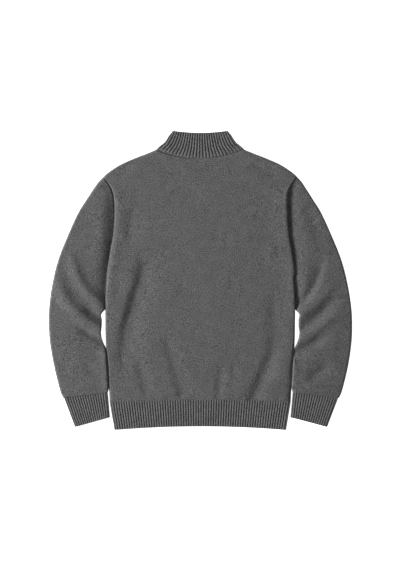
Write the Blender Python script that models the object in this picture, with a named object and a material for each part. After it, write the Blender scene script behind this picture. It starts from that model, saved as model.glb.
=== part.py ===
"""Knit cardigan with a stand collar and a full-length zip, laid flat on its front.

Metres, +Z up. The surface that it lies on is z = 0, the back faces up, +Y runs up to the collar,
and left is the wearer's left, at -X. Every cloth piece is a wall of knit between a grid of outer
points and a grid of inner points.
"""

import math

import bmesh
import bpy
from mathutils import Vector

# Cloth
CLOTH = 0.0030  # thickness of the plain knit
HOLLOW = 0.0029  # space between the back and the front, where no crease presses it
SEAM = 0.0003  # space left at a seam
NECK_SEAM = 0.0005  # the same along Y at the neck, where the seam runs aslant
TOUCH = 0.0005  # space between a sleeve and the side that it lies against
LOFT = 2 * CLOTH + HOLLOW  # height of the back
EDGE = LOFT / 2  # radius of a turned edge, and the height of its middle
LEAST_HOLLOW = 0.0004  # under the deepest crease
MOST_HOLLOW = 0.0052  # under the highest crease
CREASE_TIP = 0.06  # share of a crease's length that fades no further

# Rib knit
RIB_BASE = 0.0020  # from the plain inside to the bottom of a furrow
RIB_RISE = 0.0014  # from the furrow to the rib's crest
RIB_SHAPE = (0.0, 0.75, 1.0, 0.75)  # share of the rise, from a furrow over the crest
HEM_RIBS = 71
COLLAR_RIBS = 26
CUFF_RIBS = 18

# Body
HEM_TOP = -0.2916  # height of the rib's top line at the sides
HEM_TOP_RISE = 0.0041  # how much higher that line is in the middle
HEM_BOTTOM = -0.3593
HEM_BOTTOM_RISE = 0.0087
HEM_BOTTOM_HALF = 0.2064
HEM_EASE = 0.10  # height over which the body's rows straighten above the rib
UNDERARM = 0.0084
SHOULDER = 0.2484
NECK_POINT = 0.3149
BACK_NECK_DROP = 0.0197
FRONT_NECK_DROP = 0.0750
FRONT_DROP_START = 0.10  # height where the front's rows begin to sag towards the neck
COLLAR_TOP = 0.3600
BACK_COLLAR_DIP = 0.0057
FRONT_COLLAR_DIP = 0.0600
COLLAR_CORNER = 0.0060  # radius of the collar's upper corners

# Half width of the body at its side, from the hem's rib to the underarm
#        height, half width
SIDE = (
    (-0.2916, 0.2176),
    (-0.2388, 0.2204),
    (-0.1908, 0.2235),
    (-0.1548, 0.2270),
    (-0.0948, 0.2282),
    (-0.0468, 0.2281),
    (0.0084, 0.2244),
)
# Half width along the armhole's seam, from the underarm to the shoulder
ARMHOLE = (
    (0.0084, 0.2244),
    (0.0372, 0.2213),
    (0.0732, 0.2158),
    (0.1092, 0.2093),
    (0.1452, 0.2064),
    (0.1740, 0.2059),
    (0.1932, 0.2069),
    (0.2112, 0.2102),
    (0.2268, 0.2172),
    (0.2484, 0.2318),
)
# Half width along the shoulder, up to the neck
SHOULDER_LINE = (
    (0.2484, 0.2318),
    (0.2652, 0.2140),
    (0.2796, 0.1908),
    (0.2940, 0.1582),
    (0.3084, 0.1212),
    (0.3149, 0.1060),
)
# Half width of the collar, from the neck up
COLLAR_SIDE = (
    (0.3149, 0.1060),
    (0.3228, 0.0978),
    (0.3300, 0.0882),
    (0.3372, 0.0820),
    (0.3516, 0.0732),
    (0.3600, 0.0690),
)

# Sleeve
SLEEVE_ROWS = 24
ARMHOLE_HOLD = 0.22  # share of the sleeve over which its rows straighten from the armhole's curve
CUFF_BOTTOM_OUTER = (0.3031, -0.3523)
CUFF_BOTTOM_INNER = (0.2170, -0.3288)
CUFF_TUCK = 0.0020  # how far the sleeve's outer edge stands out over the cuff

# The sleeve's outer edge, from the cuff to the shoulder
#        height, distance from the middle of the body
OUTER_EDGE = (
    (-0.2820, 0.3320),
    (-0.2676, 0.3384),
    (-0.2100, 0.3528),
    (-0.1524, 0.3624),
    (-0.1092, 0.3650),
    (-0.0660, 0.3636),
    (-0.0084, 0.3552),
    (0.0492, 0.3408),
    (0.1068, 0.3180),
    (0.1644, 0.2916),
    (0.1932, 0.2736),
    (0.2220, 0.2550),
    (0.2370, 0.2446),
    (0.2484, 0.2318),
)
# How far both outer edges lie towards +X, off an even pair
#        height, distance
OUTER_SWING = (
    (-0.3523, 0.0020),
    (-0.2100, 0.0020),
    (-0.1092, 0.0006),
    (-0.0084, -0.0006),
    (0.1100, -0.0013),
    (0.2220, -0.0010),
    (0.2484, 0.0),
)
# How far the sleeve's inner edge lies off the body's side, with the two notches at the elbow
#        height, distance from the side
INNER_GAP = (
    (-0.2688, 0.0036),
    (-0.2600, TOUCH),
    (-0.1620, TOUCH),
    (-0.1524, 0.0045),
    (-0.1380, 0.0093),
    (-0.1260, 0.0108),
    (-0.1092, 0.0085),
    (-0.0948, 0.0082),
    (-0.0804, 0.0105),
    (-0.0745, TOUCH),
    (0.0084, TOUCH),
)
# Which height of the inner edge each height of the outer edge is level with along the sleeve
#        outer height, inner height
SLEEVE_SLANT = (
    (-0.2820, -0.2688),
    (-0.1950, -0.1740),
    (-0.1284, -0.1260),
    (-0.0660, -0.0876),
    (0.1068, -0.0312),
    (0.2484, 0.0084),
)

# Creases of the back layer. Each lies along a straight line and fades at its ends.
#        start x, start y, end x, end y, rise, spread
BODY_CREASES = (
    (-0.1481, 0.0444, -0.1889, -0.0852, -0.0010, 0.0110),
    (-0.0857, -0.1644, -0.1265, -0.2364, -0.0008, 0.0110),
    (-0.0473, -0.2200, -0.0460, -0.2628, -0.0007, 0.0090),
    (0.1639, -0.1428, 0.1327, -0.2460, -0.0009, 0.0110),
    (0.1327, -0.2316, 0.0871, -0.2772, -0.0012, 0.0090),
)
LEFT_CREASES = (
    (-0.2237, 0.2052, -0.2310, 0.0444, -0.0022, 0.0100),
    (-0.2681, -0.0108, -0.2311, -0.0523, -0.0016, 0.0080),
    (-0.2976, -0.0108, -0.2333, -0.0588, 0.0020, 0.0090),
    (-0.3146, -0.0372, -0.2441, -0.1039, -0.0024, 0.0090),
    (-0.2911, -0.0845, -0.2376, -0.1188, 0.0020, 0.0090),
    (-0.2825, -0.1274, -0.2465, -0.1524, -0.0015, 0.0070),
)
RIGHT_CREASES = (
    (0.2237, 0.2052, 0.2310, 0.0444, -0.0022, 0.0100),
    (0.2887, -0.0310, 0.2352, -0.0612, 0.0020, 0.0090),
    (0.3144, -0.0458, 0.2458, -0.1039, -0.0024, 0.0090),
    (0.2990, -0.0900, 0.2440, -0.1250, 0.0018, 0.0090),
    (0.2887, -0.1356, 0.2522, -0.1572, -0.0014, 0.0070),
    (0.3055, -0.2045, 0.2503, -0.2340, -0.0008, 0.0090),
)

# How finely the plain pieces are divided
TURN_STEPS = 2  # steps in a quarter of a turned edge
BODY_COLUMNS = 24
HALF_COLUMNS = 7  # of a front or of half a collar's front
SLEEVE_COLUMNS = 13
BODY_ROWS = 10  # from the rib to the underarm
FRONT_ROWS = 5
SHOULDER_ROWS = 5
COLLAR_ROWS = 5

# Zip
ZIP_EDGE = 0.0055  # distance of each front's edge from the middle
TAPE = 0.0010
TAPE_EDGE = 0.00315
TAPE_OUTER = 0.0145
TAPE_BOTTOM = -0.3490
TAPE_TOP = 0.2990
ZIP_LEVEL = CLOTH + SEAM + TAPE / 2  # height of the middle of the tape and the chain
CHAIN_THICK = 0.0022
CHAIN_GAP = 0.00015  # from the middle to each half of the chain
CHAIN_OUTER = 0.00285
BOX_LENGTH = 0.0075
BOX_HALF = 0.0040
BOX_THICK = 0.0030
CHAIN_REACH = 0.0010  # of the chain past the slider's middle
STOP_LENGTH = 0.0020
STOP_GAP = 0.0010  # between the slider and the stops
STOP_INNER = 0.0005
SLIDER_Y = 0.2905
SLIDER_HALF = 0.0045  # half of its width and of its length
PLATE = 0.0006
PLATE_GAP = 0.0002  # between the chain and each plate
LIP = 0.0012
POST_HALF = 0.0008
POST_LOW = 0.0018  # lower end of the post, above the slider's middle
POST_INSET = 0.0004
CROWN_HALF = 0.0012
CROWN_FLOOR = 0.0001  # height of the crown's underside
CROWN_LEG = 0.0006
CROWN_BAR = 0.0005
CROWN_REACH_UP = 0.0040
CROWN_REACH_DOWN = 0.0030
PIVOT_Y = SLIDER_Y + 0.0026
PIVOT_Z = 0.00125
PULL_HALF = 0.0034
PULL_THICK = 0.0007
PULL_BAR = 0.0004  # half of the bar that the crown holds
PULL_WINDOW_HALF = 0.0021
PULL_WINDOW_LENGTH = 0.0075
PULL_LENGTH = 0.0270

# Colours, as linear red, green and blue
WOOL = (0.105, 0.105, 0.103)
RIB_WOOL = (0.098, 0.098, 0.096)
TAPE_CLOTH = (0.045, 0.045, 0.046)
GUNMETAL = (0.23, 0.23, 0.24)


def finish(name, colour, roughness, metallic=0.0):
    """A plain material."""
    material = bpy.data.materials.new(name)
    material.use_nodes = True
    shader = material.node_tree.nodes["Principled BSDF"]
    shader.inputs["Base Color"].default_value = (*colour, 1.0)
    shader.inputs["Roughness"].default_value = roughness
    shader.inputs["Metallic"].default_value = metallic
    material.diffuse_color = (*colour, 1.0)
    return material


def smooth(table, place):
    """Value at a place on the smooth curve through a table of (place, value) rows, in rising order."""
    last = len(table) - 1
    place = min(max(place, table[0][0]), table[last][0])
    cell = min(max(i for i in range(last + 1) if table[i][0] <= place), last - 1)

    def slope(i):
        before, after = table[max(i - 1, 0)], table[min(i + 1, last)]
        return (after[1] - before[1]) / (after[0] - before[0])

    (start, low), (end, high) = table[cell], table[cell + 1]
    span = end - start
    t = (place - start) / span
    return (
        low * (1 + 2 * t) * (1 - t) ** 2
        + high * t * t * (3 - 2 * t)
        + span * slope(cell) * t * (1 - t) ** 2
        - span * slope(cell + 1) * t * t * (1 - t)
    )


def straight(table, place):
    """Value at a place on the straight lines through a table of (place, value) rows."""
    if place <= table[0][0]:
        return table[0][1]
    for (start, low), (end, high) in zip(table, table[1:]):
        if place <= end:
            return low + (high - low) * (place - start) / (end - start)
    return table[-1][1]


def crease_rise(x, y, creases):
    """Height that the creases add to the back layer at a point."""
    rise = 0.0
    for start_x, start_y, end_x, end_y, height, spread in creases:
        along = Vector((end_x - start_x, end_y - start_y))
        across = Vector((x - start_x, y - start_y))
        share = across.dot(along) / along.length_squared
        past_end = max(-share, share - 1, 0) * along.length
        aside = (across - along * share).length
        held = min(max(share, CREASE_TIP), 1 - CREASE_TIP)
        ends = math.sqrt(math.sin(math.pi * held))
        rise += height * ends * math.exp(-(aside**2 + past_end**2) / spread**2)
    return min(max(rise, LEAST_HOLLOW - HOLLOW), MOST_HOLLOW - HOLLOW)


class Row:
    """One line across a piece, from its first edge to its second, seen from above."""

    def __init__(self, first, second, bend=None, turned=1.0):
        self.first = Vector(first)
        self.second = Vector(second)
        self.bend = bend
        self.turned = turned  # 1 where the cloth turns under at the ends, 0 at a seam
        self.width = (self.second - self.first).length

    def at(self, distance):
        """Point at a distance from the first edge."""
        share = distance / self.width
        point = self.first.lerp(self.second, share)
        return point + self.bend(share) if self.bend else point


def sagged(half, height, sag, turned=1.0):
    """A row from side to side whose middle lies lower than its ends."""

    def bend(share):
        return Vector((0, -sag * (1 - (2 * share - 1) ** 2)))

    return Row((-half, height), (half, height), bend, turned)


# A place on a row is (distance of the hollow's middle line, side, angle, thickness). The side is
# -1 or 1 at a turned edge and 0 between them, and the angle is 0 at the edge's outermost line.
def turned_places(middle, side, thickness, outermost=True):
    """Places round a quarter of a turned edge, outermost first."""
    steps = range(0 if outermost else 1, TURN_STEPS)
    return [(middle, side, math.pi / 2 * step / TURN_STEPS, thickness) for step in steps]


def flat_places(first, last, columns, thickness):
    """Evenly spaced places between two turned edges."""
    return [
        (first + (last - first) * step / (columns + 1), 0, math.pi / 2, thickness)
        for step in range(columns + 2)
    ]


def plain_places(width, columns, outermost=True):
    """Places across the whole of a plain layer."""
    return (
        turned_places(EDGE, -1, CLOTH, outermost)
        + flat_places(EDGE, width - EDGE, columns, CLOTH)
        + turned_places(width - EDGE, 1, CLOTH, outermost)[::-1]
    )


def rib_places(width, ribs):
    """Places across a ribbed back layer, four to a rib."""
    radius = HOLLOW / 2 + RIB_BASE + RIB_RISE / 2
    turn = radius * math.pi / 2
    run = width - 2 * EDGE
    steps = len(RIB_SHAPE) * ribs
    found = []
    for step in range(steps + 1):
        thickness = RIB_BASE + RIB_RISE * RIB_SHAPE[(step + 1) % len(RIB_SHAPE)]
        along = (run + 2 * turn) * step / steps
        if along < turn:
            found.append((EDGE, -1, along / radius, thickness))
        elif along > turn + run:
            found.append((width - EDGE, 1, (run + 2 * turn - along) / radius, thickness))
        else:
            found.append((EDGE + along - turn, 0, math.pi / 2, thickness))
    return found


def layer(row, places, face, least=0.0, creases=()):
    """Pairs of an outer and an inner point. The face is 1 for the back layer and -1 for the front."""
    pairs = []
    for middle, side, angle, thickness in places:
        lean = side * math.cos(angle)
        lift = 1 - row.turned * (1 - math.sin(angle))
        outer_radius = HOLLOW / 2 + thickness
        outer_at = row.at(middle + lean * outer_radius)
        inner_at = row.at(middle + lean * (outer_radius - thickness * row.turned))
        outer_lift = max(outer_radius * lift, least)
        inner_lift = max(outer_radius * lift - thickness * lift, least)
        rise = crease_rise(*outer_at, creases) * lift if creases else 0.0
        pairs.append(
            (
                Vector((*outer_at, EDGE + face * outer_lift + rise)),
                Vector((*inner_at, EDGE + face * inner_lift + rise)),
            )
        )
    return pairs


def wall(name, rows, material, ring=False):
    """A closed wall through rows of outer and inner points. A ring's rows close on themselves."""
    mesh = bpy.data.meshes.new(name)
    work = bmesh.new()
    outer = [[work.verts.new(pair[0]) for pair in row] for row in rows]
    inner = [[work.verts.new(pair[1]) for pair in row] for row in rows]
    count = len(rows[0])
    cells = range(count if ring else count - 1)
    for above, below, above_in, below_in in zip(outer, outer[1:], inner, inner[1:]):
        for i in cells:
            j = (i + 1) % count
            work.faces.new((above[i], above[j], below[j], below[i]))
            work.faces.new((above_in[i], below_in[i], below_in[j], above_in[j]))
        if not ring:
            work.faces.new((above[0], below[0], below_in[0], above_in[0]))
            work.faces.new((above[-1], above_in[-1], below_in[-1], below[-1]))
    for i in cells:
        j = (i + 1) % count
        work.faces.new((outer[0][i], inner[0][i], inner[0][j], outer[0][j]))
        work.faces.new((outer[-1][i], outer[-1][j], inner[-1][j], inner[-1][i]))
    bmesh.ops.recalc_face_normals(work, faces=work.faces)
    work.to_mesh(mesh)
    work.free()
    mesh.shade_smooth()
    mesh.set_sharp_from_angle(angle=math.radians(50))
    return place_object(name, mesh, material)


def place_object(name, mesh, material):
    """An object of the garment, linked to the scene."""
    piece = bpy.data.objects.new(name, mesh)
    piece.data.materials.append(material)
    bpy.context.scene.collection.objects.link(piece)
    return piece


def block(name, x_range, y_range, z_range, material, bevel=0.0):
    """A solid block between two corners, its long edges rounded by a bevel."""
    low, high = (Vector(corner) for corner in zip(x_range, y_range, z_range))
    mesh = bpy.data.meshes.new(name)
    work = bmesh.new()
    bmesh.ops.create_cube(work, size=1.0)
    bmesh.ops.scale(work, vec=high - low, verts=work.verts)
    bmesh.ops.translate(work, vec=(low + high) / 2, verts=work.verts)
    work.to_mesh(mesh)
    work.free()
    piece = place_object(name, mesh, material)
    if bevel:
        rounding = piece.modifiers.new("rounding", "BEVEL")
        rounding.width = bevel
        rounding.segments = 1
    return piece


def combine(piece, other, operation):
    """Join another object to a piece, or cut it away, and keep that object as a hidden guide."""
    boolean = piece.modifiers.new(other.name, "BOOLEAN")
    boolean.operation = operation
    boolean.object = other
    other.hide_render = True
    other.display_type = "WIRE"


def body_half(height):
    """Half width of the body at any height from the rib to the neck."""
    if height <= UNDERARM:
        return smooth(SIDE, height)
    if height < SHOULDER:
        return smooth(ARMHOLE, height) - SEAM / 2
    return smooth(SHOULDER_LINE, height)


def seam_turn(height):
    """How far the body's edge turns under: fully at the sides and shoulders, not at the armhole."""
    inset = min(height - UNDERARM, SHOULDER - height)
    if inset <= 0:
        return 1.0
    if inset >= EDGE:
        return 0.0
    return 1 - math.sqrt(1 - (1 - inset / EDGE) ** 2)


def armhole_places():
    """Places along the armhole, shared by the body's edge and the top of the sleeve."""
    first = Vector((smooth(ARMHOLE, SHOULDER), SHOULDER))
    second = Vector((smooth(ARMHOLE, UNDERARM), UNDERARM))
    return (second - first).length, plain_places((second - first).length, SLEEVE_COLUMNS)


def body_heights(rows_below):
    """Heights of the body's rows, from the rib to the neck."""
    low = HEM_TOP + SEAM / 2
    below = [low + (UNDERARM - low) * step / rows_below for step in range(rows_below)]
    width, places = armhole_places()
    distances = [middle + side * EDGE * math.cos(angle) for middle, side, angle, _ in places]
    beside = [SHOULDER + (UNDERARM - SHOULDER) * distance / width for distance in distances]
    high = NECK_POINT - NECK_SEAM / 2
    above = [
        SHOULDER + (high - SHOULDER) * step / SHOULDER_ROWS for step in range(1, SHOULDER_ROWS + 1)
    ]
    return below + beside[::-1] + above


def hem_rise(height):
    """How much higher a body row is in its middle, near the rib."""
    return HEM_TOP_RISE * max(0.0, 1 - (height - HEM_TOP) / HEM_EASE)


def back_row(height):
    """A row of the back, which sags to the neckline above the shoulder points."""
    share = max(0.0, (height - SHOULDER) / (NECK_POINT - SHOULDER))
    sag = BACK_NECK_DROP * share - hem_rise(height)
    return sagged(body_half(height), height, sag, seam_turn(height))


def front_row(height):
    """A row of the fronts, which sags further and sooner than the back's."""
    share = max(0.0, (height - FRONT_DROP_START) / (NECK_POINT - FRONT_DROP_START))
    sag = FRONT_NECK_DROP * share**1.5 - hem_rise(height)
    return sagged(body_half(height), height, sag, seam_turn(height))


def half_places(width, columns, side):
    """Places of one front, from the turned side to the edge at the zip."""
    turned = turned_places(EDGE, -1, CLOTH)
    flat = flat_places(EDGE, width / 2 - ZIP_EDGE, columns, CLOTH)
    places = turned + flat
    if side > 0:
        places = [(width - middle, -lean, angle, thick) for middle, lean, angle, thick in places]
    return places


def make_back(material):
    rows = []
    for height in body_heights(BODY_ROWS):
        row = back_row(height)
        places = plain_places(row.width, BODY_COLUMNS)
        rows.append(layer(row, places, 1, SEAM / 2, BODY_CREASES))
    wall("back_panel", rows, material)


def make_front(name, side, material):
    rows = []
    for height in body_heights(FRONT_ROWS):
        row = front_row(height)
        rows.append(layer(row, half_places(row.width, HALF_COLUMNS, side), -1, SEAM / 2))
    wall(name, rows, material)


def hem_row(share):
    """A row of the hem's rib, from its top line (0) to its bottom edge (1)."""
    top = HEM_TOP - SEAM / 2
    half = SIDE[0][1] + (HEM_BOTTOM_HALF - SIDE[0][1]) * share
    height = top + (HEM_BOTTOM - top) * share
    rise = HEM_TOP_RISE + (HEM_BOTTOM_RISE - HEM_TOP_RISE) * share
    return sagged(half, height, -rise)


def make_hem_back(material):
    rows = []
    for share in (0, 1):
        row = hem_row(share)
        rows.append(layer(row, rib_places(row.width, HEM_RIBS), 1, SEAM / 2))
    wall("hem_back", rows, material)


def make_hem_front(name, side, material):
    rows = []
    for share in (0, 1):
        row = hem_row(share)
        rows.append(layer(row, half_places(row.width, HALF_COLUMNS, side), -1, SEAM / 2))
    wall(name, rows, material)


def collar_row(share, low_dip, high_dip):
    """A row of one layer of the collar, from the neck (0) to the top edge (1)."""
    low = NECK_POINT + NECK_SEAM / 2
    height = low + (COLLAR_TOP - low) * share
    dip = low_dip + (high_dip - low_dip) * share
    half = smooth(COLLAR_SIDE, height)
    corner = COLLAR_CORNER if share == 1 else 0.0

    def bend(across):
        inset = max(0.0, (0.5 - abs(across - 0.5)) * 2 * half)
        drop = 0.0
        if inset < corner:
            drop = corner - math.sqrt(corner**2 - (corner - inset) ** 2)
        return Vector((0, -dip * (1 - (2 * across - 1) ** 2) - drop / 2))

    return Row((-half, height), (half, height), bend)


def make_collar(material):
    """The collar runs from the right front's zip edge, round the back, to the left front's."""
    rows = []
    for step in range(COLLAR_ROWS + 1):
        share = step / COLLAR_ROWS
        front = collar_row(share, FRONT_NECK_DROP, FRONT_COLLAR_DIP)
        back = collar_row(share, BACK_NECK_DROP, BACK_COLLAR_DIP)
        right_half = half_places(front.width, HALF_COLUMNS, 1)[1:][::-1]
        left_half = half_places(front.width, HALF_COLUMNS, -1)[1:]
        across = rib_places(back.width, COLLAR_RIBS)[::-1]
        rows.append(layer(front, right_half, -1) + layer(back, across, 1) + layer(front, left_half, -1))
    wall("collar", rows, material)


def sleeve_row(share, side):
    """A row of a sleeve, from the armhole (0) to the top of the cuff (1)."""
    top = OUTER_EDGE[-1][0]
    outer_y = top + (OUTER_EDGE[0][0] - top) * share
    inner_y = smooth(SLEEVE_SLANT, outer_y)
    outer_x = smooth(OUTER_EDGE, outer_y) + side * smooth(OUTER_SWING, outer_y)
    inner_x = smooth(SIDE, inner_y) + straight(INNER_GAP, inner_y)
    if share == 0:
        outer_x, inner_x = smooth(ARMHOLE, SHOULDER), smooth(ARMHOLE, UNDERARM)
    if share == 1:
        outer_y, inner_y = outer_y + SEAM / 2, inner_y + SEAM / 2
    hold = max(0.0, 1 - share / ARMHOLE_HOLD) ** 2

    def bend(across):
        height = SHOULDER + (UNDERARM - SHOULDER) * across
        chord = smooth(ARMHOLE, SHOULDER) * (1 - across) + smooth(ARMHOLE, UNDERARM) * across
        inward = smooth(ARMHOLE, height) - chord
        seam = SEAM / 2 if share == 0 else 0.0
        return Vector((side * (inward * hold + seam), 0))

    return Row((side * outer_x, outer_y), (side * inner_x, inner_y), bend)


def ring(row, top_places, bottom_places, creases=()):
    """A closed row: across the back layer, then back across the front layer."""
    return layer(row, top_places, 1, creases=creases) + layer(row, bottom_places[::-1], -1)


def make_sleeve(name, side, creases, material):
    rows = []
    for step in range(SLEEVE_ROWS + 1):
        row = sleeve_row(step / SLEEVE_ROWS, side)
        top = plain_places(row.width, SLEEVE_COLUMNS)
        bottom = plain_places(row.width, SLEEVE_COLUMNS, outermost=False)
        rows.append(ring(row, top, bottom, creases))
    wall(name, rows, material, ring=True)


def make_cuff(name, side, material):
    top_y, top_x = OUTER_EDGE[0]
    inner_y = SLEEVE_SLANT[0][1]
    inner_x = smooth(SIDE, inner_y) + INNER_GAP[0][1]
    ends = (
        ((top_x - CUFF_TUCK, top_y - SEAM / 2), (inner_x, inner_y - SEAM / 2)),
        (CUFF_BOTTOM_OUTER, CUFF_BOTTOM_INNER),
    )
    rows = []
    for outer, inner in ends:
        swing = smooth(OUTER_SWING, outer[1])
        row = Row((side * outer[0] + swing, outer[1]), (side * inner[0], inner[1]))
        bottom = plain_places(row.width, HALF_COLUMNS, outermost=False)
        rows.append(ring(row, rib_places(row.width, CUFF_RIBS), bottom))
    wall(name, rows, material, ring=True)


def make_zip(cloth, metal):
    """Tapes, chain, box, stops, slider and pull. Only the pull moves, on the slider's crown."""
    low, high = ZIP_LEVEL - CHAIN_THICK / 2, ZIP_LEVEL + CHAIN_THICK / 2
    chain_bottom = TAPE_BOTTOM + BOX_LENGTH + SEAM
    chain_top = SLIDER_Y + CHAIN_REACH
    stop_low = SLIDER_Y + SLIDER_HALF + STOP_GAP
    for name, side in (("left", -1), ("right", 1)):
        tape_x = sorted((side * TAPE_EDGE, side * TAPE_OUTER))
        tape_z = (ZIP_LEVEL - TAPE / 2, ZIP_LEVEL + TAPE / 2)
        block(f"zip_tape_{name}", tape_x, (TAPE_BOTTOM + BOX_LENGTH + SEAM, TAPE_TOP), tape_z, cloth)
        chain_x = sorted((side * CHAIN_GAP, side * CHAIN_OUTER))
        block(f"zip_chain_{name}", chain_x, (chain_bottom, chain_top), (low, high), metal)
        stop_x = sorted((side * STOP_INNER, side * CHAIN_OUTER))
        stop_y = (stop_low, stop_low + STOP_LENGTH)
        block(f"zip_stop_{name}", stop_x, stop_y, (low, high), metal, bevel=0.0003)
    block(
        "zip_box",
        (-BOX_HALF, BOX_HALF),
        (TAPE_BOTTOM, TAPE_BOTTOM + BOX_LENGTH),
        (ZIP_LEVEL - BOX_THICK / 2, ZIP_LEVEL + BOX_THICK / 2),
        metal,
        bevel=0.0004,
    )
    make_slider(low - PLATE_GAP, high + PLATE_GAP, metal)
    make_pull(metal)


def make_slider(lower, upper, metal):
    """Two plates with lips, the post between them and the crown that holds the pull."""
    x_range = (-SLIDER_HALF, SLIDER_HALF)
    y_range = (SLIDER_Y - SLIDER_HALF, SLIDER_Y + SLIDER_HALF)
    slider = block("zip_slider", x_range, y_range, (lower - PLATE, lower), metal)
    post_y = (SLIDER_Y + POST_LOW, SLIDER_Y + SLIDER_HALF - POST_INSET)
    crown_y = (SLIDER_Y - CROWN_REACH_DOWN, SLIDER_Y + CROWN_REACH_UP)
    crown_x = (-CROWN_HALF, CROWN_HALF)
    crown_leg_z = (CROWN_FLOOR, lower - PLATE / 2)
    parts = [
        ("slider_upper_plate", x_range, y_range, (upper, upper + PLATE)),
        ("slider_post", (-POST_HALF, POST_HALF), post_y, (lower - PLATE / 2, upper + PLATE / 2)),
        ("crown_bar", crown_x, crown_y, (CROWN_FLOOR, CROWN_FLOOR + CROWN_BAR)),
        ("crown_low_leg", crown_x, (crown_y[0], crown_y[0] + CROWN_LEG), crown_leg_z),
        ("crown_high_leg", crown_x, (crown_y[1] - CROWN_LEG, crown_y[1]), crown_leg_z),
    ]
    for side in (-1, 1):
        lip_x = sorted((side * (SLIDER_HALF - LIP), side * SLIDER_HALF))
        parts.append((f"lower_lip_{side}", lip_x, y_range, (lower - PLATE / 2, lower + PLATE)))
        parts.append((f"upper_lip_{side}", lip_x, y_range, (upper - PLATE, upper + PLATE / 2)))
    for name, x_span, y_span, z_span in parts:
        combine(slider, block(name, x_span, y_span, z_span, metal), "UNION")


def make_pull(metal):
    """A flat tab with a window, whose upper bar turns inside the crown."""
    hinge = bpy.data.objects.new("pull_hinge", None)
    hinge.location = (0, PIVOT_Y, PIVOT_Z)
    bpy.context.scene.collection.objects.link(hinge)
    thick = (-PULL_THICK / 2, PULL_THICK / 2)
    window_y = (-PULL_BAR - PULL_WINDOW_LENGTH, -PULL_BAR)
    pull = block("zip_pull", (-PULL_HALF, PULL_HALF), (-PULL_LENGTH, PULL_BAR), thick, metal)
    window_x = (-PULL_WINDOW_HALF, PULL_WINDOW_HALF)
    window = block("pull_window", window_x, window_y, (-PULL_THICK, PULL_THICK), metal)
    combine(pull, window, "DIFFERENCE")
    pull.parent = hinge
    window.parent = hinge


def main():
    for old in list(bpy.data.objects):
        bpy.data.objects.remove(old)
    wool = finish("wool", WOOL, 0.95)
    rib_wool = finish("rib_wool", RIB_WOOL, 0.95)
    tape_cloth = finish("tape_cloth", TAPE_CLOTH, 0.8)
    gunmetal = finish("gunmetal", GUNMETAL, 0.35, 1.0)

    make_back(wool)
    make_hem_back(rib_wool)
    make_collar(rib_wool)
    for name, side, creases in (("left", -1, LEFT_CREASES), ("right", 1, RIGHT_CREASES)):
        make_front(f"front_{name}", side, wool)
        make_hem_front(f"hem_front_{name}", side, rib_wool)
        make_sleeve(f"sleeve_{name}", side, creases, wool)
        make_cuff(f"cuff_{name}", side, rib_wool)
    make_zip(tape_cloth, gunmetal)


main()
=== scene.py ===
"""Looks of a knit cardigan that lies flat on its front: felted wool, folds, ribs and a metal zip.

Metres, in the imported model's frame. The surface that it lies on is z = 0, the back faces up, +Y
runs up to the collar, and left is the wearer's left, at -X.
"""

import math

import bmesh
import bpy
import numpy as np
from bpy.props import FloatProperty, FloatVectorProperty, PointerProperty
from bpy.types import Operator, Panel, PropertyGroup
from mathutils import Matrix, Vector


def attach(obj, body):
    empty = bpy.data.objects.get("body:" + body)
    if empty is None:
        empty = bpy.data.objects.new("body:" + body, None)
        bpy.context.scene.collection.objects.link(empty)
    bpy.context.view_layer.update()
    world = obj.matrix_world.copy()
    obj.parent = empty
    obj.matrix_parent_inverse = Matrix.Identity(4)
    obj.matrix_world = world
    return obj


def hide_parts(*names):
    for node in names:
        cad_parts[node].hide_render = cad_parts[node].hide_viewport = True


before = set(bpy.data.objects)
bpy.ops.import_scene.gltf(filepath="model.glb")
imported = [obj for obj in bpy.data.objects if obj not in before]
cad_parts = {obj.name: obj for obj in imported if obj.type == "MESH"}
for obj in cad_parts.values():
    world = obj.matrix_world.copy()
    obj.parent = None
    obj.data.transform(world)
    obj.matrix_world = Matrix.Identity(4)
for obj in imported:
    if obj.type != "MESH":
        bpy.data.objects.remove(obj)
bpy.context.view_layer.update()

bl_info = {
    "name": "Knit Cardigan",
    "version": (1, 0, 0),
    "blender": (4, 5, 0),
    "location": "3D View > Sidebar > Cardigan",
    "description": "Dresses the cardigan's solids in felted wool, ribs, folds and a metal zip",
    "category": "Object",
}

SIDES = ((-1, "left"), (1, "right"))  # towards +X, and the wearer's side

# Cloth, as in the solids
FRONT_WALL = 0.0030
BACK_WALL = 0.0022
HOLLOW = 0.0029
SEAM = 0.0003
TOUCH = -0.0001  # distance between a sleeve and the body's side where they touch
LAP = 0.0002  # how far two pieces reach over the middle of their seam
TUCK = 0.0016  # how far a sleeve's upper layer reaches under the body's
EDGE = 0.00445  # height of a turned edge's outermost line
RIB_BASE = 0.0018  # thickness of a ribbed back wall in its furrows
RIB_ROUNDING = 0.75  # below 1, a rib's crest is broader than its furrow

# Body, as in the solids
HEM_TOP = -0.2916
HEM_TOP_RISE = 0.0041
HEM_BOTTOM = -0.3593
HEM_BOTTOM_RISE = 0.0087
HEM_BOTTOM_HALF = 0.2064
HEM_EASE = 0.10
HEM_RIBS = 71
UNDERARM = 0.0084
SHOULDER = 0.2484
NECK_POINT = 0.3149
BACK_NECK_DROP = 0.0224
FRONT_NECK_DROP = 0.0750
FRONT_DROP_START = 0.10
COLLAR_TOP = 0.3607
BACK_COLLAR_DIP = 0.0057
FRONT_COLLAR_DIP = 0.0600
COLLAR_CORNER = 0.0060
CORNER_START = 0.72  # share of the collar's height at which its corner starts
COLLAR_RIBS = 26
ZIP_EDGE = 0.0055
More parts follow.
